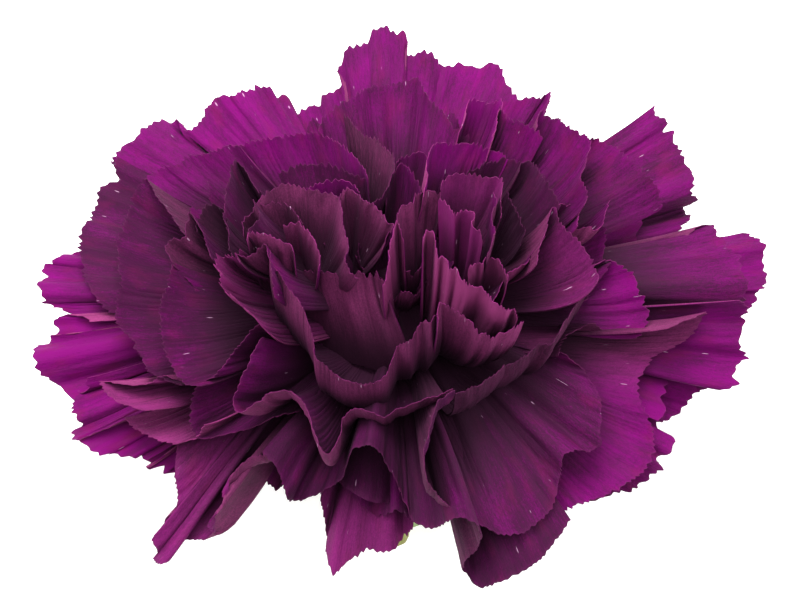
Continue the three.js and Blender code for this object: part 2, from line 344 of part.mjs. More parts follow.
// The middle surface of a petal: u runs from its foot to its rim, v along the rim. Each line of
// growth is a Bezier curve that leaves the foot upwards or outwards and meets the rim in the rim's
// direction, which is the line's own turned up by lift, or the curl that the rim's points give.
function petalSurface(petal, rim, curls) {
  const kind = { belly: 0, out: 0, claw: CLAW_WIDTH, ...KINDS[petal.kind], ...petal };
  const curve = new THREE.CatmullRomCurve3(rim, false, 'centripetal');
  curve.arcLengthDivisions = RIM_MEASURES;
  const mean = rim.reduce((sum, point) => sum.add(point), new THREE.Vector3());
  const turn = kind.az === undefined ? Math.atan2(mean.y, mean.x) : radians(kind.az);
  const outward = new THREE.Vector3(Math.cos(turn), Math.sin(turn), 0);
  const aside = new THREE.Vector3(-Math.sin(turn), Math.cos(turn), 0);
  if (rim.at(-1).clone().sub(rim[0]).dot(aside) < 0) aside.negate();
  const curlAt = (v) => {
    const rank = curve.getUtoTmapping(v) * (curls.length - 1);
    const before = Math.min(Math.floor(rank), curls.length - 2);
    return radians(THREE.MathUtils.lerp(curls[before], curls[before + 1], rank - before));
  };
  const curled = curls.some((curl) => curl !== 0);
  const point = (u, v, grow = 0) => {
    const end = curve.getPointAt(v);
    const foot = outward.clone().multiplyScalar(kind.foot).addScaledVector(UP, kind.footHeight)
      .addScaledVector(aside, (v - 0.5) * kind.claw);
    const chord = end.clone().sub(foot);
    const length = chord.length();
    const flat = chord.clone().setZ(0);
    const radial = flat.clone().normalize();
    const tip = curled
      ? radial.clone().multiplyScalar(Math.cos(curlAt(v))).addScaledVector(UP, Math.sin(curlAt(v)))
      : chord.clone().divideScalar(length).addScaledVector(UP, kind.lift).normalize();
    end.addScaledVector(tip, grow);
    const first = foot.clone().addScaledVector(UP, length * kind.rise).addScaledVector(chord, 0.1)
      .addScaledVector(flat, kind.out).addScaledVector(radial, kind.belly);
    const second = end.clone().addScaledVector(tip, -length * kind.hold)
      .addScaledVector(radial, kind.belly);
    return new THREE.CubicBezierCurve3(foot, first, second, end).getPoint(u);
  };
  return { point, length: curve.getLength() };
}

// The unit normal of the middle surface, from its two tangents.
function petalNormal(point, u, v) {
  const step = 0.02;
  const along = point(Math.min(u + step, 1), v).sub(point(Math.max(u - step, 0), v));
  const across = point(u, Math.min(v + step, 1)).sub(point(u, Math.max(v - step, 0)));
  return along.cross(across).normalize();
}

// A blade BLADE thick: both faces are split alike into rows that fan out from the foot to the rim.
function petalBlade(petal, rim, curls = [0, 0]) {
  const { point, length } = petalSurface(petal, rim, curls);
  const quarter = THREE.MathUtils.clamp(Math.round(length / RIM_STEP / 4), 1, MOST_QUARTERS);
  const rows = [
    { u: 0, columns: quarter },
    { u: MIDDLE_ROW, columns: quarter * 2 },
    { u: 1, columns: quarter * 4 },
  ];
  const front = [];
  const back = [];
  let start = 0;
  for (const row of rows) {
    row.start = start;
    for (let column = 0; column <= row.columns; column += 1) {
      const v = column / row.columns;
      const grow = row.u === 1 ? (column % 2 ? TOOTH : -TOOTH) : 0;
      const middle = point(row.u, v, grow);
      const normal = petalNormal(point, row.u, v);
      front.push(middle.clone().addScaledVector(normal, BLADE / 2));
      back.push(middle.clone().addScaledVector(normal, -BLADE / 2));
    }
    start += row.columns + 1;
  }
  const faces = [];
  for (let index = 0; index < rows.length - 1; index += 1) {
    faces.push(...rowFaces(rows[index], rows[index + 1]));
  }
  return closeBlade([...front, ...back], faces, edgeLoop(rows), start);
}

// Triangles between two rows, where the outer row has as many columns as the inner one or twice.
function rowFaces(inner, outer) {
  const split = outer.columns / inner.columns;
  const faces = [];
  for (let column = 0; column < inner.columns; column += 1) {
    const a = inner.start + column;
    const b = outer.start + column * split;
    for (let part = 0; part < split; part += 1) {
      faces.push([a, b + part + 1, b + part]);
    }
    faces.push([a, a + 1, b + split]);
  }
  return faces;
}

// The outline of the fan of rows, once round.
function edgeLoop(rows) {
  const foot = rows[0];
  const rim = rows.at(-1);
  const loop = [];
  for (let column = 0; column <= foot.columns; column += 1) loop.push(foot.start + column);
  for (const row of rows.slice(1, -1)) loop.push(row.start + row.columns);
  for (let column = rim.columns; column >= 0; column -= 1) loop.push(rim.start + column);
  for (const row of rows.slice(1, -1).reverse()) loop.push(row.start);
  return loop;
}

// Joins a front face, the same face turned over behind it, and the strip round their edge.
function closeBlade(points, faces, loop, count) {
  const index = [];
  for (const [a, b, c] of faces) {
    index.push(a, c, b, a + count, b + count, c + count);
  }
  loop.forEach((a, place) => {
    const b = loop[(place + 1) % loop.length];
    index.push(a, b, a + count, b, b + count, a + count);
  });
  const geometry = new THREE.BufferGeometry().setFromPoints(points);
  geometry.setIndex(index);
  return geometry;
}

// ---- solids

function solid(geometry) {
  const bare = geometry.clone();
  bare.deleteAttribute('normal');
  bare.deleteAttribute('uv');
  const merged = mergeVertices(bare, WELD);
  return new wasm.Manifold(new wasm.Mesh({
    numProp: 3,
    vertProperties: new Float32Array(merged.attributes.position.array),
    triVerts: new Uint32Array(merged.index.array),
  }));
}

function geometryOf(manifold) {
  const mesh = manifold.getMesh();
  const geometry = new THREE.BufferGeometry();
  geometry.setAttribute('position', new THREE.BufferAttribute(new Float32Array(mesh.vertProperties), 3));
  geometry.setIndex(new THREE.BufferAttribute(new Uint32Array(mesh.triVerts), 1));
  return geometry;
}

// A solid of revolution round the flower's axis, from [radius, height] points.
function revolve(profile, sides = ROUND_SIDES) {
  const points = profile.map(([radius, height]) => new THREE.Vector2(radius, height));
  return new THREE.LatheGeometry(points, sides).rotateX(Math.PI / 2);
}

// All that lies below the surface that the flower rests on, as a large block.
function belowSurface() {
  const block = new THREE.BoxGeometry(200, 200, 100).translate(0, 0, -50);
  block.rotateX(radians(LEAN)).translate(0, 0, STUB_END);
  return solid(block);
}

// The bundle of claws that fills the calyx and the closely packed heart above it, which every
// petal grows out of.
function clawBundle() {
  return solid(revolve([[0, CLAWS[0][1]], ...CLAWS, ...HEART], CLAW_SIDES));
}

function bloomGeometry() {
  let bloom = clawBundle();
  for (const petal of SEEN_PETALS) {
    bloom = bloom.add(solid(petalBlade(petal, seenRim(petal.rim), spreadOut(petal.rim, 3))));
  }
  for (const ring of HIDDEN_RINGS) {
    for (let index = 0; index < ring.count; index += 1) {
      bloom = bloom.add(solid(petalBlade(ring, ringRim(ring, index))));
    }
  }
  // Only the outer shell stays: pockets shut in between petals are filled, and scraps dropped.
  const shells = bloom.subtract(belowSurface()).decompose();
  return geometryOf(shells.sort((one, other) => other.volume() - one.volume())[0]);
}

// Raises the upper edge of a lathed cup into pointed lobes that lean out a little.
function lobes(geometry, count, notch, tip, flare) {
  const position = geometry.attributes.position;
  for (let index = 0; index < position.count; index += 1) {
    const height = position.getZ(index);
    if (height < notch - 0.01) continue;
    const x = position.getX(index);
    const y = position.getY(index);
    const share = ((Math.atan2(y, x) / (2 * Math.PI) + 1) * count) % 1;
    const rise = 1 - Math.abs(2 * share - 1);
    const scale = 1 + flare * rise;
    position.setXYZ(index, x * scale, y * scale, height + (tip - notch) * rise);
  }
  return geometry;
}

function calyxGeometry() {
  const inside = CALYX_OUTLINE.slice(1).map(([radius, height]) => [radius - CALYX_WALL, height]).reverse();
  inside.push([CALYX_OUTLINE[0][0] - 0.3, CALYX_BOTTOM + CALYX_WALL]);
  const profile = [[0, CALYX_BOTTOM], ...CALYX_OUTLINE, ...inside, [0, CALYX_BOTTOM + CALYX_WALL]];
  return lobes(revolve(profile), CALYX_TEETH, CALYX_RIM, CALYX_TIP, CALYX_FLARE);
}

function bractGeometry() {
  const outside = BRACT_OUTLINE.map(([radius, height]) => [radius + BRACT_WALL, height]);
  const profile = [BRACT_OUTLINE[0], ...outside, ...BRACT_OUTLINE.toReversed()];
  return lobes(revolve(profile), BRACTS, BRACT_NOTCH, BRACT_TOP, BRACT_FLARE);
}

// The stub is cut straight across, so only the back edge of its end touches the surface.
function stemGeometry() {
  return revolve([[0, STUB_CUT], [STUB_RADIUS, STUB_CUT], ...STUB_SWELL, [0, STUB_TOP]], STUB_SIDES);
}

// ---- the flower

const petalPurple = new THREE.MeshStandardMaterial({ color: 0x6e1a66, roughness: 0.6, metalness: 0 });
const calyxGreen = new THREE.MeshStandardMaterial({ color: 0x8fa568, roughness: 0.55, metalness: 0 });
const stemGreen = new THREE.MeshStandardMaterial({ color: 0xa9b483, roughness: 0.6, metalness: 0 });

function piece(name, geometry, material) {
  const mesh = new THREE.Mesh(geometry, material);
  mesh.name = name;
  return mesh;
}

const flower = new THREE.Group();
flower.add(piece('petals', bloomGeometry(), petalPurple));
flower.add(piece('calyx', calyxGeometry(), calyxGreen));
flower.add(piece('bracts', bractGeometry(), calyxGreen));
flower.add(piece('stem', stemGeometry(), stemGreen));

// Lying down: the whole flower leans back and is set over the middle of the space that it takes.
flower.rotation.x = -radians(LEAN);
flower.updateMatrixWorld(true);
const extent = new THREE.Box3().setFromObject(flower, true);
flower.position.x = -(extent.min.x + extent.max.x) / 2;
flower.position.y = -(extent.min.y + extent.max.y) / 2;
flower.position.z = -extent.min.z;

const carnation = new THREE.Group();
carnation.add(flower);

export default carnation;
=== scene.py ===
import bpy
import numpy as np
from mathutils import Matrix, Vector


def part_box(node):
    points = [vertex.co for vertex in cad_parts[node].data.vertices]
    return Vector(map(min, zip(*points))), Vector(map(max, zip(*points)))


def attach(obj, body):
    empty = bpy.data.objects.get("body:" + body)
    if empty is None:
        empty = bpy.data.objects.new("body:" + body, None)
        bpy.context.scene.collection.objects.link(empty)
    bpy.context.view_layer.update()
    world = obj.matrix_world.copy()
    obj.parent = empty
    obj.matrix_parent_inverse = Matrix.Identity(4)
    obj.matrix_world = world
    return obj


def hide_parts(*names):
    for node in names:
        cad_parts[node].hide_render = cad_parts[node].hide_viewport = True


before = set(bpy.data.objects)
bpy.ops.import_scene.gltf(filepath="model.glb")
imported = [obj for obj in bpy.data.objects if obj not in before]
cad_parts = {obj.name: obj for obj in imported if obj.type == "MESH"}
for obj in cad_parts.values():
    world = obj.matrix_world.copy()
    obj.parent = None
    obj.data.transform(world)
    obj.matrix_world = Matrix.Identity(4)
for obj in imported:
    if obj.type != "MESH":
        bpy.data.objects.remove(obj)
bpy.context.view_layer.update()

mm = 0.001

# how the flower lies: upright round its own axis first, then leaning back on to the surface
lying = {
    "lean": 40.0,              # degrees
    "stubEnd": -31.7,          # mm over the throat, where the axis meets the surface
    "seenFrom": 45.0,          # degrees over the flower's own level, for the rims and the camera
    "eyeDistance": 600.0,      # mm
    "lowest": 0.02,            # mm over the surface, below which no point may come
}


def turned(points, degrees):
    # rotation about X: y' = y cos - z sin, z' = y sin + z cos
    cosine, sine = np.cos(np.radians(degrees)), np.sin(np.radians(degrees))
    x, y, z = points[..., 0], points[..., 1], points[..., 2]
    return np.stack([x, y * cosine - z * sine, y * sine + z * cosine], -1)


def smooth(x, low, high):
    # smoothstep: 0 below low, 1 above high, 3t^2 - 2t^3 between
    t = np.clip((x - low) / (high - low), 0, 1)
    return t * t * (3 - 2 * t)


def placed(across, up, height):
    # the point at a given height over the throat that the eye sees at (across, up), all in mm
    sine, cosine = np.sin(np.radians(lying["seenFrom"])), np.cos(np.radians(lying["seenFrom"]))
    near = (height - up * cosine) / (sine - up * cosine / lying["eyeDistance"])
    scale = 1 - near / lying["eyeDistance"]
    x, y = across * scale, up * scale
    return np.stack([x, y * sine - near * cosine, y * cosine + near * sine], -1)


def spreadOut(outline, place):
    # numbers that stand at some points only run evenly between them
    known = [i for i, point in enumerate(outline) if len(point) > place]
    return np.interp(range(len(outline)), known or [0], [outline[i][place] for i in known] or [0])


def seenRim(outline):
    # the rim's points, and as a fourth number how its blade curls there (degrees over level)
    flat = np.array([point[:2] for point in outline], float)
    points = placed(flat[:, 0], flat[:, 1], spreadOut(outline, 2))
    return np.column_stack([points, spreadOut(outline, 3)])


def ringRim(ring, index):
    # nine points on an arc round the axis, with even waves in height and radius; the golden
    # section gives each petal of a ring its own start in the wave
    phase = (index * 0.618034) % 1
    middle = ring["start"] + (ring["end"] - ring["start"]) * index / (ring["count"] - 1)
    share = np.arange(9) / 8 - 0.5
    angle = np.radians(middle + share * ring["width"])
    wave = np.sin((share * 3 + phase) * 2 * np.pi) * ring["wave"]
    radius = ring["radius"] * (1 - 0.5 * share * share) + wave * 0.4
    height = ring["height"] + wave
    return np.stack([radius * np.cos(angle), radius * np.sin(angle), height, 0 * wave], -1)


def rimCurve(points, count):
    # centripetal Catmull-Rom curve through the points, resampled at even steps of length
    padded = np.vstack([2 * points[0] - points[1], points, 2 * points[-1] - points[-2]])
    gaps = np.sqrt(np.linalg.norm(np.diff(padded[:, :3], axis=0), axis=1))
    knots = np.concatenate([[0], np.cumsum(gaps)])
    pieces = []
    for i in range(len(points) - 1):
        t0, t1, t2, t3 = knots[i:i + 4]
        p0, p1, p2, p3 = padded[i:i + 4]
        t = np.linspace(t1, t2, 40, endpoint=i == len(points) - 2)[:, None]
        a1 = ((t1 - t) * p0 + (t - t0) * p1) / (t1 - t0)
        a2 = ((t2 - t) * p1 + (t - t1) * p2) / (t2 - t1)
        a3 = ((t3 - t) * p2 + (t - t2) * p3) / (t3 - t2)
        b1 = ((t2 - t) * a1 + (t - t0) * a2) / (t2 - t0)
        b2 = ((t3 - t) * a2 + (t - t1) * a3) / (t3 - t1)
        pieces.append(((t2 - t) * b1 + (t - t1) * b2) / (t2 - t1))
    curve = np.vstack(pieces)
    run = np.concatenate([[0], np.cumsum(np.linalg.norm(np.diff(curve[:, :3], axis=0), axis=1))])
    wanted = np.linspace(0, run[-1], count)
    return np.stack([np.interp(wanted, run, curve[:, k]) for k in range(4)], -1), run[-1]


# foot radius and height (mm), how far the petal rises before it turns out, how much its rim turns
# up, how far the rim's own direction reaches back, the tone of its skin (0 dark, 1 bright: partly the
# skin's own colour and partly painted light, lighter or darker for how the light falls on the petal),
# and how strongly its rim is toothed, how far its teeth stand apart (mm), how strongly its blade is
# pleated, and how far from the rim its colour has faded into a painted shade (mm)
kinds = {
    "droop": {"foot": 4.2, "footHeight": -1.5, "rise": 0.42, "lift": -0.55, "hold": 0.34,
              "tone": 0.55, "teeth": 0.7, "pitch": 0.7, "pleats": 0.8, "fade": 26},
    "guard": {"foot": 4.2, "footHeight": -1.5, "rise": 0.30, "lift": -0.10, "hold": 0.34,
              "tone": 0.85, "teeth": 0.85, "pitch": 1.05, "pleats": 0.9, "fade": 26},
    "spread": {"foot": 3.6, "footHeight": 0.0, "rise": 0.30, "lift": 0.15, "hold": 0.34,
               "tone": 0.6, "teeth": 0.75, "pitch": 0.62, "pleats": 0.55, "fade": 15},
    "erect": {"foot": 2.8, "footHeight": 1.0, "rise": 0.22, "lift": 0.90, "hold": 0.36,
              "tone": 0.45, "teeth": 0.8, "pitch": 0.6, "pleats": 0.55, "fade": 10},
    "inner": {"foot": 1.6, "footHeight": 2.0, "rise": 0.25, "lift": 0.90, "hold": 0.34,
              "tone": 0.4, "teeth": 0.9, "pitch": 0.6, "pleats": 0.5, "fade": 10},
    "cup": {"foot": 2.0, "footHeight": 2.0, "rise": 0.0, "out": 0.5, "lift": 2.4, "hold": 0.5,
            "tone": 0.4, "teeth": 0.9, "pitch": 0.6, "pleats": 0.5, "fade": 9},
}

petalLook = {
    "columnStep": 0.125,       # mm of rim to a column
    "spareColumns": 8,
    "rows": 22,
    "rowCrowding": 1.35,       # over 1 brings the rows closer together towards the rim
    "thickness": 0.32,
    "rimThickness": 0.06,
    "clawWidth": 2.0,
    "pleatPitch": 3.4,         # mm at the rim, between the soft folds that fan out from the claw
    "pleatDepth": 0.22,
    "broadFolds": 2.6,         # the pitch of the broader folds, in pleats
    "crinklePitch": 1.3,
    "crinkleDepth": 0.06,
    "toneSpread": 0.06,        # how far one petal's tone strays from the next one's
}

sawLook = {
    "depth": 0.6,
    "notchDepth": 0.28,        # mm, the wider notches between groups of teeth
    "scallop": 0.14,           # mm, the slower waves of the cut edge
    "drift": 6,                # all in teeth: how slowly the pitch drifts
    "depthDrift": 4,
    "notchPitch": 2.7,
    "notchDrift": 9,
    "scallopPitch": 5,
}

# rims of the petals seen from the front: [across, up] in mm from the throat, and the rim's height
# over the throat as a third number wherever it is set, and its curl in degrees as a fourth
# each petal's tone is partly painted light: set lighter or darker for how the light falls on that
# petal
seenPetals = [
    dict(name="frontDrop", kind="droop", tone=0.85, fade=18, pale=0.4, rim=[
        [-7.2, -16, -5], [-6.8, -18.5], [-6.5, -21, -11], [-6.4, -23.3], [-5.8, -24.4, -12],
        [-4.8, -23.5], [-3.6, -22.6], [-2.2, -22, -10], [-0.8, -22.2], [-0.1, -22.1], [0.4, -21.7],
        [0.7, -21.1], [1.2, -20.6, -9], [2, -19.8], [2.3, -17.8, -6]]),
    dict(name="frontFold", kind="droop", rise=0.33, tone=0.46, teeth=0.35, fade=16, rim=[
        [-13, -12.2, 1], [-11.6, -13.7, 0], [-11, -15.4, -2], [-10.5, -16.9], [-9.7, -17.1, -5],
        [-8.5, -16.8], [-7.2, -16.3, -4], [-5.9, -15.4], [-4.7, -14.7, -1], [-4.4, -13.2, 1.5],
        [-3.8, -12, 3.5], [-2.6, -11.4, 5], [-1.3, -11.9, 4.5], [-0.4, -13.5, 2.5],
        [0.4, -15.5, 0.5], [1.3, -17.6, -1.5], [2.1, -19.1, -2.5], [3.7, -19.8, -2],
        [5.3, -19.3, 0], [6.8, -18.7, 1.5], [8, -19.3, 1.5], [8.7, -20.5, 0], [8.5, -21.8, -3],
        [7.5, -23, -5], [7.5, -24.4, -8], [8.6, -25.7, -9], [11.3, -25], [14.8, -23, -6],
        [16.4, -21], [17.9, -19, -5]]),
    dict(name="foldInside", kind="droop", tone=0.35, teeth=0.05, pleats=0.3, claw=5, rim=[
        [-5.8, -14.8, -4.5], [-4.9, -15.6], [-4, -16.2, -4], [-2.8, -16.9, -4], [-1.6, -17.3, -4.5],
        [-0.2, -17.3, -5], [0.8, -17.7, -5.5]]),
    dict(name="leftDroop", kind="droop", tone=0.8, teeth=0.4, fade=20, pale=0.3, rim=[
        [-21.4, -11.2, -2, -25], [-21.7, -14.5], [-21.4, -16.5, -5], [-21.6, -17.8],
        [-22.7, -19.2, -7], [-24, -21], [-23.6, -21.9], [-23.8, -22.8, -10], [-23.2, -23.5],
        [-21.9, -22.8], [-20.8, -21.1, -9, -30], [-18.7, -20.8, -8, 20], [-17.9, -19.6, -6.5, 90],
        [-17.8, -18.3, -4.5, 135], [-16.4, -16.7, -3, 150], [-16.2, -14.7, -1.5, 140],
        [-14.9, -13.3, -0.5, 120], [-13, -12.5, 0, 90], [-11.6, -13.2, -1, 40],
        [-11.3, -12.5, -1, 20]]),
    dict(name="leftLow1", kind="guard", tone=1.05, fade=26, rim=[
        [-25.1, -12.3, -5], [-24.4, -13.1], [-24, -13.7], [-24.6, -14, -6], [-22.8, -13.7],
        [-22.9, -14.4], [-21.9, -14.2, -6], [-21.4, -15.7]]),
    dict(name="leftLow2", kind="guard", tone=1.4, fade=26, rim=[
        [-31.6, -10.8, -4], [-30.6, -11.7], [-28.9, -12.5, -5], [-27.8, -12.3], [-26.9, -12.7, -5],
        [-25.8, -12.6], [-25.1, -12.2], [-24.4, -13, -5]]),
    dict(name="leftRidge", kind="guard", tone=0.85, rim=[
        [-30.6, -4.8, -2], [-30.4, -5.8], [-31.4, -6.5, -4], [-32, -7.8], [-31.6, -8.9, -4],
        [-31, -9.4], [-31.8, -10.1, -5], [-31.6, -10.8], [-29.2, -10.1, -3], [-26.7, -9, -2]]),
    dict(name="leftPale", kind="spread", rise=0.16, lift=0.3, tone=0.92, pleats=0.4, fade=30,
         pale=0.6, rim=[
        [-20.2, -5.4, 4.5], [-21.4, -5], [-22.9, -4.6, 4], [-24.2, -5.3], [-25.7, -5.5, 3.5],
        [-27.7, -5.3], [-29.2, -5.1, 3], [-28.8, -6.1], [-27.9, -6.8, 2.5], [-26.7, -7.5],
        [-24.7, -8, 2.5], [-22.7, -7.8]]),
    dict(name="leftPaleLow", kind="spread", rise=0.2, lift=0.3, tone=0.9, pleats=0.4, fade=26,
         pale=0.7, rim=[
        [-26.7, -8.7, -1], [-26, -9.7], [-24.6, -10.4, -1], [-23.2, -11], [-21.7, -11.3, 0],
        [-20.6, -11.1], [-19.5, -10.7, 1], [-18.8, -9.5, 3]]),
    dict(name="leftLowV", kind="guard", tone=1.0, pleats=1.3, rim=[
        [-30, 0.8, 0], [-32, 1.4], [-34, 1, -1], [-33.4, 0], [-34.2, -0.5], [-34.4, -1.7, -3],
        [-35.7, -1.9], [-35.6, -3.2, -2], [-35.2, -4.4], [-34, -5.2, -4], [-33, -5.8],
        [-31.9, -7.2, -5]]),
    dict(name="leftTip", kind="guard", tone=0.95, pleats=1.3, fade=14, rim=[
        [-31.2, 8, 0], [-32.8, 7.6], [-34, 6.8, 0], [-35, 6.3], [-34.4, 5.1, -1], [-35.3, 4.6],
        [-35.1, 3.6, 0], [-34.7, 2.9], [-35, 2.5, -1], [-33.4, 2.3], [-31.8, 1.5, -1]]),
    dict(name="leftOuter", kind="guard", tone=0.52, fade=10.5, rim=[
        [-27.6, 17.4, 4], [-27.7, 16.3], [-27.5, 15, 3], [-28.6, 14.7], [-29.3, 13.8],
        [-29.6, 12.7, 2], [-30.2, 11.7], [-30.2, 10.7, 2], [-30.9, 10.1], [-31.2, 8.9],
        [-31.2, 8, 2], [-30.9, 6.5], [-30.5, 4.8, 2], [-29.5, 3], [-28.4, 1.7, 1]]),
    dict(name="leftMid", kind="spread", tone=0.47, fade=10, rim=[
        [-20.6, 9.4, 12], [-22, 11.3], [-23.5, 13.3, 10], [-24.7, 15.2, 9], [-25.8, 13.8],
        [-26.1, 12.6, 7], [-26.7, 10.9], [-27.4, 9.2, 6], [-27.4, 7.2], [-27.2, 5.2, 6],
        [-27.4, 3.2], [-27.7, 1.4, 4], [-26.6, -0.3], [-25.4, -2.2, 4], [-24.4, -4], [-22.7, -5, 4],
        [-21, -5.5, 5]]),
    dict(name="bigRight", kind="spread", tone=0.52, teeth=0.5, fade=11, rim=[
        [6.3, -6, 11, 85], [4.8, -7, 10.5, 90], [3.8, -9, 9.5, 95], [3.4, -11.5, 8, 95],
        [3.4, -14, 6, 95], [4.2, -16.2, 3.5, 85], [5.8, -17.7, 1.5, 65], [7.8, -18.7, 0, 40],
        [9.8, -20, -2, 10], [11.3, -20.5, -3, -10], [13, -20.3, -3.5, -20], [14.6, -19.2],
        [15.8, -18, -3], [16.4, -16.8], [16.6, -15.4, -2], [17, -14], [17, -12.9, 0, -10],
        [18.3, -11.9, 0.5], [19.8, -12.2, -0.5], [20.8, -11.4], [20.8, -10, 1], [21, -8.3],
        [20.7, -6.5, 3, -15], [19.7, -4.9], [18.5, -3.4, 5, 5], [17, -2.2, 6, 25]]),
    # its upper band takes the paler outer colour towards the rim's end: a painted sheen where the
    # band turns up to the light
    dict(name="rightWide", kind="spread", az=-30, foot=7, rise=0.16, tone=0.85, pleats=0.4, fade=10,
         pale=0, sheenPaleEnd=0.8, rim=[
        [16.8, -18.3, -6], [18.8, -17.4], [20.8, -16.7, -5], [23, -15.7], [24.8, -14.5, -4],
        [25.9, -12.8], [26.3, -11, -3], [25.8, -9.2], [24.9, -7.3, -1], [24.6, -5.8],
        [25.2, -4, 0.5], [26.3, -2.6], [28, -1.8, 2], [29.6, -0.8], [30.5, 0.3, 3.5],
        [31.4, 1.8, 5], [29.8, 1.1], [27.7, 0.2, 6.5]]),
    dict(name="rightMid", kind="spread", tone=0.85, fade=10, rim=[
        [18.5, 4, 9], [19.6, 5.8], [20.6, 6.8, 10], [22, 6.9], [23, 6.4, 9], [24, 5.6],
        [24.5, 4.6, 8], [24.6, 3.7], [25.4, 3.1, 7], [25.1, 2.4], [25.8, 1.8, 6], [25.5, 0.8],
        [25.1, -0.1, 5], [24.5, -0.8, 4.5]]),
    dict(name="rightStrip", kind="guard", tone=1.0, fade=13, rim=[
        [30.8, 1.4, 1.5], [31.6, 1.5], [31.9, 0.6, 0.5], [32, -0.3], [31.1, -1.1, 0], [30.2, -1.5],
        [29.9, -2.7, -1], [28.8, -3.2], [27.6, -4, -2], [27.5, -5.5], [27, -7, -3], [27.3, -8],
        [26.8, -9.2, -4]]),
    dict(name="rightLow", kind="guard", tone=0.8, rim=[
        [27, -8.5, -5], [26.5, -9.7], [28.3, -11, -6], [27.8, -12.2], [26.4, -12.8, -7],
        [27, -13.8], [25.8, -14.6, -7], [25.9, -15.1], [24.4, -15.4], [24.5, -15.9],
        [23.6, -16, -7], [22, -16.4, -8], [19.8, -17.3]]),
    dict(name="farRight2", kind="guard", tone=0.66, pleats=0.45, fade=11, rim=[
        [23.8, 6.6, 4], [25.3, 7.3], [26.4, 7.8, 4.5], [27.6, 8.4], [28.3, 9.1, 5], [29.3, 9.4],
        [30.6, 10.1, 5], [32.1, 10.5], [32.4, 9.6, 5], [33.1, 9.2], [33.6, 8.1, 5], [34.4, 7.5],
        [34.9, 6.6, 4.5], [35.2, 5.7], [35.6, 4.9, 4], [35.3, 3.8], [35.2, 3, 2.5],
        [34.6, 2.2, 1]]),
    dict(name="farRight3", kind="guard", az=-14, foot=6.5, rise=0.15, tone=0.92, pleats=0.6,
         fade=17, rim=[
        [34.9, 3, 6.5], [35.5, 2.1, 5], [35.1, 1.4, 4], [35.3, 0.8], [34.8, -0.3, 2.5],
        [34.8, -1.5, 1.5], [35.5, -2.7, 0], [34.5, -3.6], [34.2, -4.5, -1], [34.5, -5.4],
        [33, -6, -2], [31.3, -5.7], [29.8, -5, -3], [27.6, -4.4, -3]]),
    dict(name="farRight1", kind="guard", tone=0.85, pleats=0.6, fade=14, rim=[
        [31.4, 8.8, 0.5], [32.8, 9.4], [34.4, 9.4, 1], [35.3, 9.7], [36, 9.3, 1], [36.8, 9],
        [37.4, 8.2, 1], [37.1, 7.4], [37.2, 6.4, 0], [37.5, 5.3], [37, 4.1, 0], [36.4, 3.7],
        [36.4, 2.8, -1], [35.8, 2.4], [35.4, 1.6, -1]]),
    dict(name="rightUnder", kind="guard", rim=[
        [32, -5.6, -5], [30.3, -6.3], [29, -6.6, -6], [27.6, -6.6], [26.6, -7.4, -7]]),
    dict(name="upperRight", kind="guard", tone=0.7, fade=16, rim=[
        [26.3, 22.5, 5], [26.5, 21.3], [27.5, 21], [27.3, 20.1], [28.2, 19.9, 4], [28.1, 18.9],
        [28.8, 18.2], [29.1, 17.2, 3], [29.7, 16.2], [30.2, 15], [29.9, 13.8, 2], [30.5, 13],
        [29.1, 12.1, -1], [29.8, 11.4], [28.9, 10.3, 0], [28, 9.3], [26.9, 9, -2], [25.8, 7.8],
        [24, 6.8, -3]]),
    dict(name="brightRight", kind="spread", tone=0.7, fade=9, rim=[
        [19.4, 18.9, 12], [20.4, 19.2], [21.2, 18.7, 11], [22.1, 18.4], [23.2, 17.7, 11],
        [24.1, 16.7], [25.3, 15.7, 10], [26.3, 14.6], [26.8, 13.4, 8], [27.1, 12.2, 7]]),
    dict(name="topRight", kind="erect", tone=0.78, fade=10, rim=[
        [14.5, 20.2, 14], [14.9, 21.8], [15.7, 21.3, 13], [16.8, 21], [17.9, 20.2, 14], [19, 19.6],
        [19.7, 18.8, 14], [19.4, 17], [19.1, 15.3, 15], [19.5, 13.8], [19.2, 12.4, 15]]),
    dict(name="topPanel", kind="erect", tone=1.2, fade=30, rim=[
        [6.6, 19.5, 15], [7.2, 21.2], [7.9, 23, 15], [8.8, 22.9], [9.7, 22.6, 14], [10.8, 23],
        [10.7, 21.5, 15], [10, 19, 17]]),
    dict(name="topPanel2", kind="erect", tone=0.78, fade=10, rim=[
        [10.8, 22.6, 15], [11.5, 21.2], [12.8, 20.7, 15], [14.3, 20.2], [15.1, 19.2, 14]]),
    dict(name="topCurl", kind="spread", tone=0.7, rim=[
        [11.1, 22.9, 11], [12.7, 23], [13.8, 23.3, 11], [14.8, 23.2], [15.6, 23.7, 11],
        [15.9, 23.1], [15.4, 21.8, 12]]),
    dict(name="backRight", kind="guard", tone=0.75, pleats=1.2, rim=[
        [4, 27.4, 9], [4.9, 26.4], [5.9, 26.4, 9], [6.8, 26.7], [8, 26.4, 9], [9.1, 26.5],
        [9.9, 26.7, 9], [10.8, 26.2], [11.3, 25, 9], [12, 23.9], [13, 23, 9], [14.3, 21.8, 8]]),
    dict(name="backCrest", kind="guard", tone=0.8, pleats=1.5, rim=[
        [-4.6, 24.6, 9], [-5.4, 26.2], [-4.8, 27.4, 10], [-4.2, 28.4], [-2.6, 28.5, 10],
        [-1.8, 29.8], [-0.5, 30.2, 11], [0.4, 29.7], [1.3, 29.9, 11], [1.7, 28.8], [1.7, 27.7, 10],
        [3.2, 27.8], [4.1, 27.4, 10], [4.9, 26.2, 9]]),
    dict(name="backLeft", kind="guard", tone=0.85, pleats=1.4, rim=[
        [-4.4, 24.8, 7], [-5.9, 23.9], [-6.8, 23.5, 6], [-7.3, 22.6], [-8.2, 22.4, 6], [-9.4, 21.4],
        [-10.4, 20, 5]]),
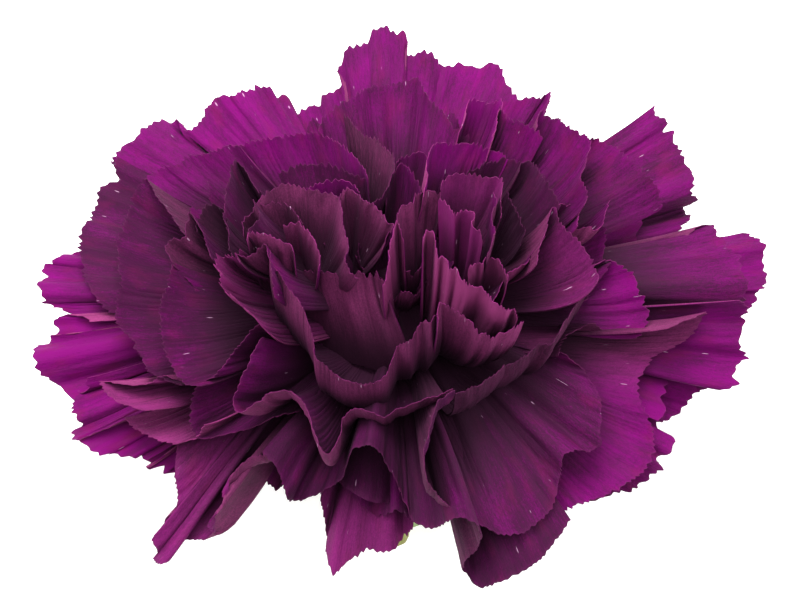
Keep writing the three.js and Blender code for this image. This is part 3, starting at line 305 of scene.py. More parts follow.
    dict(name="backMiddle", kind="spread", tone=0.6, pleats=1.2, fade=12, rim=[
        [-7.4, 20.2, 13], [-6.2, 21.8], [-4, 23.4, 14], [-2.6, 24.1], [-1.1, 24.5, 14], [0.3, 24.6],
        [1.5, 25, 15], [2.7, 25], [3.4, 23.8, 14], [4.2, 22.7], [5.2, 21.5, 14], [6.3, 20.2],
        [7.8, 19.2, 13]]),
    dict(name="leftBack1", kind="spread", tone=0.7, fade=9, rim=[
        [-24.7, 15.2, 7], [-23.2, 16.1], [-21.7, 16.5, 8], [-20.6, 17.2], [-19.2, 17.5, 9],
        [-17.7, 18], [-16.2, 18.4, 11], [-15.2, 18.4, 12]]),
    dict(name="leftBack2", kind="erect", tone=0.75, fade=8, rim=[
        [-15.4, 18.4, 11], [-14, 18.8], [-12.6, 19.2, 12], [-11.1, 19.2], [-9.7, 19.6, 13],
        [-8.3, 19.7], [-7, 19.5, 14], [-5.6, 18.9], [-4.2, 17.8, 15], [-3.1, 16.4],
        [-2.4, 15.2, 15]]),
    dict(name="leftPleat", kind="guard", tone=0.9, pleats=1.9, rim=[
        [-20.8, 19.9, 5], [-19.8, 20.2], [-19.2, 21, 6], [-18.4, 22.4], [-17.8, 23.1, 6],
        [-17, 23.4], [-15.8, 23.4, 7], [-15.1, 23.9], [-14.2, 23.8, 7], [-13.5, 24.4],
        [-12.5, 24.2, 7], [-11.6, 23.5], [-10.6, 23.2, 6], [-10, 22.3], [-9.3, 21.3, 5]]),
    dict(name="leftBackLow", kind="guard", tone=0.76, pleats=1.6, rim=[
        [-28.1, 16.7, 1.5], [-27.7, 17.5, 3], [-26.5, 18.7], [-25.5, 19], [-25.1, 19.9, 4],
        [-24, 20.5], [-23, 21, 4], [-22.2, 20.9], [-21.3, 20.2, 4], [-20.2, 19.6]]),
    dict(name="leftInner", kind="spread", tone=0.45, fade=8.5, rim=[
        [-22, 6.8, 11], [-22.1, 5.5], [-22.6, 4.2, 10], [-23.2, 2.7], [-23.2, 0.8, 9],
        [-22.9, -1.2], [-22.4, -2.8, 8], [-21.6, -4.4], [-20.6, -5.4, 7], [-19.4, -5.6, 7]]),
    dict(name="leftUpper", kind="erect", tone=0.6, fade=9, rim=[
        [-21.8, 6.4, 11], [-22.6, 8], [-22.1, 9, 12], [-20.9, 9.3], [-20.6, 10.6, 13],
        [-20.3, 11.7], [-19.5, 10.8, 14], [-18.8, 9.2], [-18.1, 7.2, 14]]),
    dict(name="leftLoop", kind="erect", tone=0.25, rim=[
        [-19.5, 9.8, 13], [-19.3, 11.4], [-18.6, 12.4, 14], [-17.6, 12.6], [-16.8, 12.1, 14],
        [-16.5, 10.5], [-16.3, 8, 15]]),
    dict(name="leftFront", kind="spread", tone=0.65, fade=17, rim=[
        [-13, 0.8, 12], [-14, -0.1], [-14.9, -1, 10], [-15.5, -1.8], [-16.1, -2.7, 8], [-17, -3.5],
        [-17.8, -4.6, 7], [-19, -5.2], [-19.6, -5.9, 5], [-20.2, -8.2, 3], [-19.3, -10.8, 1],
        [-16.7, -10.4], [-14.2, -9.8, 2], [-11.7, -8.8], [-9.2, -8.1, 4]]),
    dict(name="frontRuffle", kind="cup", out=0.25, hold=0.4, tone=0.72, teeth=0.45, fade=14, rim=[
        [-13, -0.7, 11, 45], [-14, -2.2], [-14.7, -4, 9], [-15.4, -5.8], [-15.9, -7.1, 6, 45],
        [-15.2, -8.1], [-14, -7.5], [-13, -7.1, 7], [-12.7, -6.5], [-11.4, -6.2],
        [-10.8, -6, 8, 65], [-9.2, -6.9, 7.5, 85], [-8.4, -8, 6.5], [-7.9, -9.8, 5.5],
        [-7.3, -11.4, 4.5], [-6.5, -12.3, 3.5, 85], [-5.7, -11.6, 4], [-5.1, -10, 5], [-5, -8.8, 6],
        [-4, -8, 7, 75], [-3.2, -7.9, 7.5], [-2, -8.3, 7], [-0.8, -8.7, 6.5, 75], [0.4, -8],
        [2, -7.4, 8], [3.6, -6.7], [5, -6.4, 9], [6.1, -5.8, 10, 70]]),
    dict(name="whorlLeftBack", kind="inner", az=190, foot=8, footHeight=4, tone=0.7, fade=9, rim=[
        [-14.9, 9.5, 15.5], [-14.8, 10.8], [-14, 11.8, 16.5], [-13.4, 12.8], [-12.6, 13.8],
        [-11.6, 14.3, 16.5], [-10.7, 14.6], [-9.2, 14.4, 17], [-8, 14], [-6.4, 13.7, 17.5],
        [-5.6, 13.4], [-5.1, 12.4, 18], [-4.9, 11.2], [-4.7, 9.8, 18], [-4.4, 8.4], [-4.7, 7, 17],
        [-4.2, 5.9], [-3.4, 5.1, 15.5]]),
    dict(name="whorlLeftCrest", kind="inner", az=150, foot=6, footHeight=4, tone=0.9, fade=13, rim=[
        [-8.6, 14.2, 16], [-6.7, 14.8], [-5.1, 15, 16], [-4, 14.6], [-3.2, 13.8, 15.5]]),
    dict(name="whorlLeftRight", kind="inner", az=170, foot=4, footHeight=4, tone=0.72, fade=12,
         rim=[
        [-5.3, 13.3, 16], [-4.6, 14.2], [-3.8, 13.9, 16], [-2.9, 13], [-2, 12.6, 17], [-1.2, 11.8],
        [-0.6, 10.8, 17], [0.1, 10.6], [-0.3, 9.4, 17], [-0.8, 8.3, 16]]),
    dict(name="cupLeftBack", kind="inner", az=190, foot=8.5, footHeight=4, tone=0.6, fade=12, rim=[
        [-13.7, 12.7, 16], [-13, 12.6], [-11.8, 12.6, 16], [-10.7, 12.4], [-9.5, 11.5, 16.5],
        [-8.9, 10.6, 16.5]]),
    dict(name="cupLeftSide", kind="inner", rim=[
        [-13.8, 13, 18], [-13.3, 11.9], [-13.4, 10.9, 18], [-14.2, 10.1], [-14.5, 9.4, 18]]),
    dict(name="cupLeftFront", kind="cup", az=195, foot=8, footHeight=4, tone=1.0, fade=13, rim=[
        [-14.5, 9, 18], [-14.2, 9.7], [-13.4, 9.8, 18.5], [-12.2, 9.6], [-11.1, 8.9, 18.5],
        [-10.2, 8.6], [-9.8, 7.8, 17.5]]),
    dict(name="cupLeftRight", kind="inner", az=195, foot=8.5, footHeight=4, tone=1.0, fade=16, rim=[
        [-10.9, 10.4, 17], [-9.6, 10.8], [-8.8, 10.4, 17.5], [-8.1, 9.4], [-7.6, 8.4, 17.5],
        [-7.2, 7.2], [-7.4, 6, 16]]),
    dict(name="fringed", kind="erect", tone=1.1, teeth=2.2, fade=15, pale=0.5, rim=[
        [-14.5, 7.8, 16], [-15.6, 7.4], [-17.1, 7.4, 15], [-17.6, 6.4], [-17, 5.6, 15],
        [-17.3, 4.7], [-16.6, 3.9, 14], [-15.7, 3, 14], [-14.5, 1.9], [-13.4, 0.8, 13],
        [-12.5, -0.1], [-11.6, -0.8, 11]]),
    dict(name="whorlLeftFront", kind="inner", tone=0.6, rim=[
        [-15.2, 6.8, 17], [-15.6, 7.6], [-14.6, 7.2, 17], [-13.4, 8], [-12.7, 8.6, 18],
        [-12.3, 7.4], [-12.1, 5.8, 18], [-11.8, 3.4, 16]]),
    dict(name="frontBowl", kind="cup", belly=2.2, tone=0.67, pleats=0.3, fade=6, rim=[
        [-12.2, 8, 18], [-12, 6.6], [-11, 5.3, 17], [-10.2, 3.9], [-9.2, 2.7, 15.5], [-8.4, 1],
        [-7.9, -0.8, 12.5], [-7.6, -2.8, 11], [-6.6, -3.6], [-5.4, -4.6, 9], [-3.6, -5.4, 8.5],
        [-2, -5.3, 8.5], [-0.9, -4.7], [-0.1, -3.3, 9.5], [0.6, -1.6], [1.9, -1, 12], [2.3, -0.1],
        [3.1, 0.9, 14], [3.9, 0.7], [4.5, 1.8, 15], [5, 2.9, 16]]),
    dict(name="bowlInner", kind="inner", az=-112, foot=8.6, footHeight=3.2, tone=0.85, teeth=1.4,
         claw=12, fade=10, rim=[
        [-9.5, 5.8, 12.5], [-8.2, 6], [-7, 5.9, 14], [-5.8, 5.5], [-4.6, 5.1, 14], [-4, 5.4],
        [-3.2, 5.6, 14], [-2.4, 5.3], [-1.6, 5.8, 14], [-0.8, 5]]),
    dict(name="centreTall", kind="cup", az=-45, foot=2, tone=1.25, fade=24, rim=[
        [-0.9, 4.4, 15], [-0.6, 5.6], [-0.3, 6.8, 17], [-0.4, 8], [0.1, 9.4, 18], [0.5, 10.8, 18.5],
        [0.9, 10.2, 18], [1.2, 8.8, 16.5]]),
    dict(name="centreHood", kind="inner", az=-20, foot=2.5, tone=0.75, fade=13, rim=[
        [0.5, 10.8, 17], [1, 12.3], [2, 12.8, 17.5], [2.3, 13.5], [3.1, 13.7, 17.5], [3.8, 13.9],
        [4.6, 13.6, 17], [4.9, 12.4, 16.5]]),
    dict(name="rightPale", kind="cup", az=-42, foot=4.5, footHeight=3, tone=1.2, teeth=1.3,
         pleats=0.2, fade=22, rim=[
        [3.1, 8.9, 19], [3.5, 9.9, 19], [4.1, 9.6], [4.4, 8.4, 18.5], [4.6, 7.3], [5.1, 7.3, 18],
        [5.6, 6.8], [5.8, 6.2], [6.5, 6.2, 18], [6.9, 5.3], [7.8, 4.4, 17], [8.9, 4.3],
        [9.7, 3.5, 16], [10.6, 2.4], [11.4, 2, 15], [12.2, 2.1], [12.5, 1, 13]]),
    dict(name="whorlRightBack", kind="inner", az=15, foot=6, footHeight=4, tone=0.8, fade=12,
         pale=0.4, rim=[
        [4.8, 14.3, 17], [5.8, 15.4], [7.3, 15.7, 17], [8.6, 15.5], [9.8, 15.2, 17], [10.7, 15.1],
        [10.9, 13.4, 17], [10.9, 11.2, 16]]),
    dict(name="mauveFold", kind="inner", tone=1.05, fade=12, rim=[
        [3.2, 13.4, 18], [3.4, 15.2], [3.7, 17, 18], [4.2, 18.6], [5.5, 18.7, 17], [7, 18.6],
        [8.6, 18.5, 16], [10.2, 17.9], [11.6, 17, 15]]),
    dict(name="mauveShadow", kind="inner", rim=[
        [7.6, 15.8, 16], [9.2, 16.6], [10.8, 17, 15], [12.3, 16.9], [13.5, 16.5, 15]]),
    dict(name="whorlRightPale", kind="cup", az=-10, foot=5.5, footHeight=4, tone=1.15, fade=18,
         pale=0.4, rim=[
        [4.6, 13, 18], [5.3, 12.7], [5.9, 11.9, 18], [6.3, 11.5], [6.9, 12.1, 18], [7.8, 11.9],
        [8.3, 11.4, 18], [8.1, 10.5], [8.8, 9.9, 17], [9.1, 8.7, 16]]),
    dict(name="whorlRightEdge", kind="inner", az=-5, foot=8, footHeight=4, tone=0.65, rim=[
        [10.1, 13.7, 17], [10.5, 13], [10, 11.5, 18], [10.2, 10], [9.9, 8.5, 18], [9.5, 7.3, 17]]),
    dict(name="whorlRightLow", kind="cup", az=-25, foot=7, footHeight=4, tone=1.2, fade=20, rim=[
        [7.6, 6.2, 16], [8.4, 6.8], [9, 6.7, 16], [9.6, 7.2], [10.5, 7, 16], [11.1, 6.2],
        [11.6, 5.1, 15]]),
    dict(name="darkTip", kind="inner", az=5, foot=8.5, footHeight=4, tone=0.3, fade=12, rim=[
        [11.4, 13.8, 14], [12.1, 12.6], [12.6, 11.8, 15], [12.9, 10.7], [13.3, 9.8, 15],
        [12.8, 8.3, 14]]),
    dict(name="rolledRim", kind="erect", tone=0.35, rim=[
        [12.7, 15.8, 16], [13.2, 16.7], [14, 16.7, 16], [14.8, 15.8], [15.5, 14.8, 17],
        [16.2, 13.7], [16.9, 12.4, 16]]),
    dict(name="smallRight", kind="erect", tone=1.2, fade=13, rim=[
        [16.1, 11.6, 14], [16.6, 12.5], [17.6, 12.5, 13], [18.5, 12.7], [18.7, 11.7],
        [18.5, 10.3, 14]]),
    dict(name="bigPointed", kind="erect", tone=0.8, fade=9, pale=0.35, rim=[
        [14.5, 6.6, 15], [15, 9], [15.6, 10.8, 16], [16.1, 12.2], [16.8, 10.8, 15], [17.8, 9.7],
        [18.7, 8.7, 14], [19.6, 7.6], [20.3, 6.4, 13], [20.6, 5.2], [19.8, 3.8, 13]]),
    dict(name="darkRed", kind="erect", tone=0.8, fade=14, rim=[
        [15.3, 9.3, 14], [14.5, 8.4], [13.8, 7.7, 14], [13.5, 6.9], [12.7, 6.3, 14], [11.8, 5.7],
        [11.1, 4.7, 14], [10.7, 3.8], [10, 2.8, 14]]),
    dict(name="windowPetal", kind="erect", tone=0.85, rim=[
        [18.3, 10, 12], [19.4, 10.3], [20.2, 10.1, 12], [20.9, 10.4], [21.3, 11.5, 12],
        [21.7, 12.8]]),
    dict(name="frontRight", kind="cup", belly=1.2, tone=0.45, fade=7, rim=[
        [19.6, 4.3, 10.5], [19.1, 3.6], [18.3, 2.6, 10.5], [17.5, 1.3], [16.8, -0.1, 10],
        [16.1, -1.2], [14.8, -1.5, 9], [13.7, -2.3], [12.7, -3, 9], [11.3, -3.5], [10.4, -4.4, 9],
        [9.1, -5.2], [7.8, -5.8, 9], [6.4, -6.3, 9]]),
    dict(name="mPetal", kind="cup", az=-50, foot=5, footHeight=3, tone=0.8, teeth=1.3, pleats=0.3,
         rim=[
        [4.5, 0.5, 15], [4.8, 2.8, 16], [5.7, 2.3, 15.5], [6.9, 1.5], [8, 0.7, 14], [8.6, -0.2],
        [9.3, -0.4], [10, -0.9, 12.5], [10.7, -0.3], [11.6, -0.1, 13], [12.5, 0.4], [13.2, 1, 14]]),
    dict(name="slim", kind="spread", rise=0.14, tone=0.5, pale=0.6, rim=[
        [16.5, -2.6, 6], [17, -1.3], [17.8, -0.5, 6], [18.9, 0.2], [20.1, 0.8, 6], [21, 0, 5]]),
    dict(name="leftSlip", kind="erect", az=165, foot=6, tone=0.45, fade=11, rim=[
        [-15.9, 6.8, 14.5], [-16.4, 9], [-16.7, 11.5, 15], [-16.6, 13.5], [-16.3, 15.2, 15],
        [-15.7, 17.2], [-14.9, 16.2, 14.5], [-14, 14.6], [-13, 13.6, 14.5]]),
    dict(name="topLeaf", kind="inner", az=140, foot=3.5, footHeight=4, tone=0.45, rim=[
        [-4.8, 21.6, 13.5], [-4, 20.6], [-3, 19.6, 14.5], [-2.2, 19.3], [-1.6, 19.2],
        [-0.8, 18.3, 15.5], [-0.2, 17.8], [0.1, 16.7, 16], [-0.1, 15.2], [-0.8, 13.5, 16.5],
        [-2, 12.4, 16]]),
    dict(name="leftRollEdge", kind="inner", az=150, foot=5, footHeight=4, tone=0.5, fade=11, rim=[
        [-11.4, 15.8, 14.5], [-9.2, 16.4], [-7.2, 16.7, 15], [-5.7, 16.3], [-4.2, 15.7, 15],
        [-2.7, 15, 14.5]]),
    dict(name="centreBack", kind="inner", az=95, foot=2.5, footHeight=4, tone=0.75, fade=13, rim=[
        [-0.6, 12.6, 15], [-0.1, 14.8], [0.5, 16.2, 15.5], [1.2, 16.6], [2, 15.8, 15.5],
        [2.7, 14.6], [2.9, 13, 15]]),
    dict(name="centreSliver", kind="inner", az=90, foot=3.5, footHeight=3, tone=0.95, rim=[
        [0.4, 16.2, 14], [1, 17.3], [2, 17.6, 14.5], [3.2, 17.6], [3.9, 16.8, 14]]),
]

# petals that stand behind those: how many, where they start and end round the axis (degrees), the
# rim's radius and height (mm), its width in degrees and its waves (mm)
hiddenRings = [
    dict(name="rest", kind="guard", count=2, start=52, end=128, radius=35.5, height=-9.4,
         width=34, wave=0.9),
    dict(name="under", kind="guard", count=4, start=4, end=176, radius=31.5, height=-5.5,
         width=40, wave=1.6),
    dict(name="back", kind="guard", count=3, start=40, end=140, radius=29, height=1.5,
         width=46, wave=1.8),
    dict(name="front", kind="droop", count=3, start=222, end=330, radius=20, height=-6,
         width=40, wave=1.4),
    dict(name="middle", kind="spread", count=6, start=10, end=170, radius=21.5, height=8,
         width=44, wave=1.8),
    dict(name="heart", kind="inner", count=7, start=20, end=330, radius=6.2, height=11,
         width=62, wave=1.3, tone=1.0, fade=12),
    dict(name="core", kind="inner", count=5, start=60, end=330, radius=3.4, height=10.5,
         width=84, wave=0.8, tone=1.0, fade=12),
]


def waves(x, pitch, random, parts=5):
    # a sum of sines round one pitch, with random strengths and phases, scaled to about -1..1
    total = np.zeros_like(x)
    for _ in range(parts):
        own = pitch * random.uniform(0.6, 1.7)
        total += random.uniform(0.5, 1) * np.sin(2 * np.pi * (x / own + random.uniform()))
    return total / (0.6 * parts)


def sawEdge(along, pitch, random):
    # saw teeth whose pitch (mm) drifts, times a depth that comes and goes along the rim, with wider
    # notches and slow scallops: each tooth and notch is a triangle wave of its phase
    pitch = pitch * random.uniform(0.85, 1.2)
    phase = along / pitch + 0.7 * waves(along, pitch * sawLook["drift"], random)
    teeth = 0.5 - np.abs(2 * (phase % 1) - 1)
    depth = np.clip(0.65 + 0.6 * waves(along, pitch * sawLook["depthDrift"], random), 0.15, 1.3)
    slow = along / (pitch * sawLook["notchPitch"])
    slow = slow + waves(along, pitch * sawLook["notchDrift"], random)
    notches = 0.5 - np.abs(2 * (slow % 1) - 1)
    scallops = waves(along, pitch * sawLook["scallopPitch"], random)
    cut = sawLook["depth"] * teeth * depth + sawLook["notchDepth"] * notches
    return cut + sawLook["scallop"] * scallops


def surfaceNormal(grid):
    # unit normal of a grid of points: its two tangents crossed, which points into the cup
    normal = np.cross(np.gradient(grid, axis=0), np.gradient(grid, axis=1))
    return normal / np.maximum(np.linalg.norm(normal, axis=2, keepdims=True), 1e-9)


def petalSurface(petal, rim, random):
    # rows run foot to rim along Bezier lines that leave the foot upwards and meet the rim in the
    # rim's direction; pleats push the surface along its normal, more and more towards the rim
    kind = {"belly": 0.0, "out": 0.0, "claw": petalLook["clawWidth"], **kinds[petal["kind"]], **petal}
    mean = rim.mean(0)
    turn = np.radians(petal["az"]) if "az" in petal else np.arctan2(mean[1], mean[0])
    outward = np.array([np.cos(turn), np.sin(turn), 0])
    aside = np.array([-np.sin(turn), np.cos(turn), 0])
    up = np.array([0, 0, 1.0])
    backwards = (rim[-1] - rim[0])[:3] @ aside < 0
    if backwards:
        rim = rim[::-1]
    length = rimCurve(rim, 2)[1]
    columns = int(length / petalLook["columnStep"]) + petalLook["spareColumns"]
    curve = rimCurve(rim, columns)[0]
    edge, curl = curve[:, :3], np.radians(curve[:, 3:])
    v = np.linspace(-0.5, 0.5, columns)[:, None]
    foot = outward * kind["foot"] + up * kind["footHeight"] + v * aside * kind["claw"]
    chord = edge - foot
    reach = np.linalg.norm(chord, axis=1, keepdims=True)
    flat = chord * [1, 1, 0]
    radial = flat / np.linalg.norm(flat, axis=1, keepdims=True)
    if np.any(curl):
        tip = radial * np.cos(curl) + up * np.sin(curl)
    else:
        tip = chord / reach + kind["lift"] * up
    tip /= np.linalg.norm(tip, axis=1, keepdims=True)
    along = (0.5 - v[:, 0] if backwards else v[:, 0] + 0.5) * length
    edge = edge + tip * sawEdge(along, kind["pitch"], random)[:, None] * kind["teeth"]
    bulge = radial * kind["belly"]
    first = foot + up * reach * kind["rise"] + chord * 0.1 + flat * kind["out"] + bulge
    second = edge - tip * reach * kind["hold"] + bulge
    u = (1 - (1 - np.linspace(0, 1, petalLook["rows"])) ** petalLook["rowCrowding"])[:, None, None]
    w = 1 - u
    grid = w ** 3 * foot + 3 * w ** 2 * u * first + 3 * w * u * u * second + u ** 3 * edge
    fan = np.broadcast_to(along, grid.shape[:2])
    rise = np.broadcast_to(u[..., 0], grid.shape[:2])
    pleats = waves(fan, petalLook["pleatPitch"], random) * smooth(rise, 0.15, 1)
    folds = waves(fan, petalLook["pleatPitch"] * petalLook["broadFolds"], random, 3)
    pleats += folds * smooth(rise, 0.1, 0.7)
    atSides = smooth(0.5 - np.abs(v[:, 0]), -0.02, 0.08)      # the folds die out at the blade's sides
    pleats *= petalLook["pleatDepth"] * kind["pleats"] * atSides
    wander = 0.8 * waves(rise * reach.mean(), 5, random)
    crinkle = waves(fan + wander, petalLook["crinklePitch"], random)
    crinkle *= petalLook["crinkleDepth"] * smooth(rise, 0.6, 1)
    grid = grid + surfaceNormal(grid) * (pleats + crinkle)[..., None]
    return grid, along, u[:, 0, 0], reach.mean()


def shellFaces(rows, columns):
    # faces of a closed blade whose points are its upper skin's grid and then its lower skin's:
    # quads of both skins, and a strip of quads that joins them round the edge
    place = np.arange(rows * columns).reshape(rows, columns)
    a, b = place[:-1, :-1].ravel(), place[:-1, 1:].ravel()
    c, d = place[1:, 1:].ravel(), place[1:, :-1].ravel()
    loop = np.concatenate([place[0, :-1], place[:-1, -1], place[-1, :0:-1], place[:0:-1, 0]])
    ahead = np.roll(loop, -1)
    return np.vstack([
        np.stack([a, d, c, b], 1),
        np.stack([a, b, c, d], 1) + place.size,
        np.stack([loop, ahead, ahead + place.size, loop + place.size], 1)])


def petalBlade(petal, rim, number):
    # a closed blade: the surface moved half its thickness each way. Its "growth" says where a point
    # is along the rim and out from the foot (mm) and which petal it is on; its "skin" gives the
    # tone, partly painted light, how much it is the inner side, and how far it has come out of the
    # painted shade towards the foot
    random = np.random.default_rng(number)
    grid, along, u, reach = petalSurface(petal, rim, random)
    shape = grid.shape[:2]
    taper = petalLook["thickness"] + (petalLook["rimThickness"] - petalLook["thickness"]) * u ** 3
    offset = surfaceNormal(grid) * taper[:, None, None] / 2
    points = np.concatenate([(grid + offset).reshape(-1, 3), (grid - offset).reshape(-1, 3)])
    look = {"pale": 0.0, **kinds[petal["kind"]], **petal}
    tone = look["tone"] + random.uniform(-petalLook["toneSpread"], petalLook["toneSpread"])
    # painted shade: rise falls from 1 at the rim to 0 a fade's length towards the foot, where the
    # skin is darkened
    rise = np.clip(1 - (1 - u) * reach / look["fade"], 0, 1)
    growth = np.zeros((2, *shape, 3))
    growth[..., 0] = along
    growth[..., 1] = (u * reach)[:, None]
    growth[..., 2] = number % 97 * 3.1         # far enough apart that no two petals share a pattern
    side = smooth(along / along.max(), 0.45, 0.75)
    skin = np.zeros((2, *shape, 3))
    skin[..., 0] = tone
    # pale mixes the paler outer colour into the inner side; the share towards the rim's end is a
    # painted sheen where a band turns up to the light
    skin[0, ..., 1] = 1.0 - look["pale"] - (look.get("sheenPaleEnd", look["pale"]) - look["pale"]) * side
    skin[..., 2] = rise[:, None]
    return points, shellFaces(*shape), growth.reshape(-1, 3), skin.reshape(-1, 3)


def restingPlace(points):
    # leans the upright flower back, sets it over the frame's origin, and keeps it off the surface
    rested = turned(points, -lying["lean"]) * mm + restShift
    rested[..., 2] = np.maximum(rested[..., 2], lying["lowest"] * mm)
    return rested


def addMesh(name, points, faces, growth, skin, material, node, sharp=70):
    mesh = bpy.data.meshes.new(name)
    mesh.from_pydata(restingPlace(points), [], faces)
    mesh.polygons.foreach_set("use_smooth", np.ones(len(mesh.polygons), bool))
    for label, values in {"growth": growth, "skin": skin}.items():
        layer = mesh.attributes.new(label, "FLOAT_VECTOR", "POINT")
        layer.data.foreach_set("vector", values.astype(np.float32).ravel())
    mesh.set_sharp_from_angle(angle=np.radians(sharp))
    mesh.materials.append(material)
    mesh.update()
    piece = bpy.data.objects.new(name, mesh)
    bpy.context.scene.collection.objects.link(piece)
    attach(piece, "root")
    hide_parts(node)
    return piece


def addPetals(name, batch, material):
    blades = [petalBlade(petal, rim, number) for petal, rim, number in batch]
    starts = np.cumsum([0] + [len(blade[0]) for blade in blades[:-1]])
    points, growth, skin = (np.vstack([blade[k] for blade in blades]) for k in (0, 2, 3))
    faces = np.vstack([blade[1] + start for blade, start in zip(blades, starts)])
    piece = addMesh(name, points, faces, growth, skin, material, "petals")
    print(name, len(batch), "petals,", 2 * len(faces), "triangles")


def revolved(outline, sides):
    # points of an outline of [radius, height] carried once round the flower's axis
    angle = np.linspace(0, 2 * np.pi, sides, endpoint=False)
    radius, height = outline[:, :1], outline[:, 1:]
    ring = [radius * np.cos(angle), radius * np.sin(angle), height + 0 * angle]
    return np.stack(ring, -1), angle


def ribbed(look):
    # the rings of a look's outline, with ribs: r (1 + ribHeight cos(ribs a))
    grid, angle = revolved(np.array(look["outline"]), look["sides"])
    grid[..., :2] *= (1 + look["ribHeight"] * np.cos(angle * look["ribs"]))[:, None]
    return grid


def capped(grid, low, high):
    # rings of points as one closed skin that faces out where the rings run upwards: quads between
    # the rings, and a fan to a point on the axis at each end
    rows, sides = grid.shape[:2]
    points = np.vstack([grid.reshape(-1, 3), [[0, 0, low], [0, 0, high]]])
    place = np.arange(rows * sides).reshape(rows, sides)
    ahead = np.roll(place, -1, 1)
    quads = np.stack([quad.ravel() for quad in (place[:-1], ahead[:-1], ahead[1:], place[1:])], 1)
    centre = np.full(sides, rows * sides)
    foot = np.stack([ahead[0], place[0], centre], 1)
    head = np.stack([place[-1], ahead[-1], centre + 1], 1)
    return points, quads.tolist() + foot.tolist() + head.tolist()


def roundGrowth(points, radius):
    # "growth" of a round piece: how far round it a point is (mm), and how high
    angle = np.arctan2(points[:, 1], points[:, 0])
    return np.stack([angle * radius, points[:, 2], points[:, 2] * 0], 1)


# the claws in the calyx and the closed heart over them
clawBundle = {
    "outline": [[3.2, -23.9], [4.6, -20], [5.6, -13], [5.8, -5], [6.2, 0],      # [radius, height]
                [6.6, 2], [5.8, 4.5], [3.4, 6.2], [0.8, 6.8]],
    "top": 6.9,
    "sides": 84,
    "ribs": 14,
    "ribHeight": 0.04,
    "tone": 0.3,               # painted shade: dark for the shade of the petals that grow out of it
}


def addClawBundle(material):
    points, faces = capped(ribbed(clawBundle), clawBundle["outline"][0][1], clawBundle["top"])
    # painted shade: the tone and the rise are low, so the skin fades into the shadow colour
    skin = np.tile([clawBundle["tone"], 1.0, clawBundle["tone"]], (len(points), 1))
    piece = addMesh("clawBundle", points, faces, roundGrowth(points, 6), skin, material, "petals")


calyx = {
    "outline": np.array([[3.6, -25], [4.9, -23.5], [6.1, -19], [6.8, -13], [6.95, -6]]),
    "wall": 0.7,
    "lip": 0.12,               # how far the rounded rim stands over the outline's end
    "teeth": 5,
    "toothTip": -2.6,
    "toothLength": 4.5,        # from the notches down to where a tooth begins to rise
    "toothShape": 0.85,        # below 1 the tooth's sides bulge
    "flare": 0.07,
    "ribs": {25: 0.006, 5: 0.008},         # how many, and how high for the radius
    "paleFrom": 22,            # mm over the bottom, where the teeth's pale tips begin
    "rows": 26,
    "sides": 120,
}


def addCalyx(material):
    # an outline up the outer wall, over the rim and down the inner wall, carried round the axis.
    # With s from 0 at a notch to 1 at a tooth's tip, r grows by flare s and z by the tooth's height
    outline, wall = calyx["outline"], calyx["wall"]
    bottom, notch = outline[0, 1], outline[-1, 1]
    height = np.linspace(bottom, notch, calyx["rows"])
    outer = np.stack([np.interp(height, outline[:, 1], outline[:, 0]), height], 1)
    lip = [[outer[-1, 0] - wall / 2, notch + calyx["lip"]]]
    grid, angle = revolved(np.vstack([outer, lip, outer[:0:-1] - [wall, 0]]), calyx["sides"])
    share = (angle / (2 * np.pi) + 1) * calyx["teeth"] % 1
    tooth = (1 - np.abs(2 * share - 1)) ** calyx["toothShape"]
    tooth = tooth * smooth(grid[..., 2], notch - calyx["toothLength"], notch)
    grid[..., :2] *= 1 + (calyx["flare"] * tooth)[..., None]
    grid[..., 2] += (calyx["toothTip"] - notch) * tooth
    points, faces = capped(grid, bottom, bottom + wall)
    around = np.arctan2(points[:, 1], points[:, 0])
    swell = 1 + sum(high * np.cos(around * count) for count, high in calyx["ribs"].items())
    points[:, :2] *= swell[:, None]
    rise = (points[:, 2] - bottom) / calyx["paleFrom"]
    skin = np.stack([rise, np.ones(len(points)), rise], 1)
    piece = addMesh("calyxTube", points, faces, roundGrowth(points, 6.5), skin, material, "calyx")


bracts = {
    "count": 4,
    "bottom": -24.9,
    "top": -16.5,
    "outerDrop": 0.8,          # every other bract ends lower and lies over its neighbours
    "outerGap": 0.16,
    "gap": 0.38,               # mm off the calyx
    "halfWidth": 0.86,         # radians round the calyx
    "narrowing": 0.35,
    "tipGap": 0.75,            # mm that the tip stands off further, and the sides
    "sideGap": 0.1,
    "keel": 0.22,
    "keelWidth": 0.12,         # radians
    "thickness": 0.42,
    "thinning": 0.26,          # mm lost from base to tip, and the share lost at the sides
    "sideThinning": 0.55,
    "rows": 30,
    "columns": 25,
}


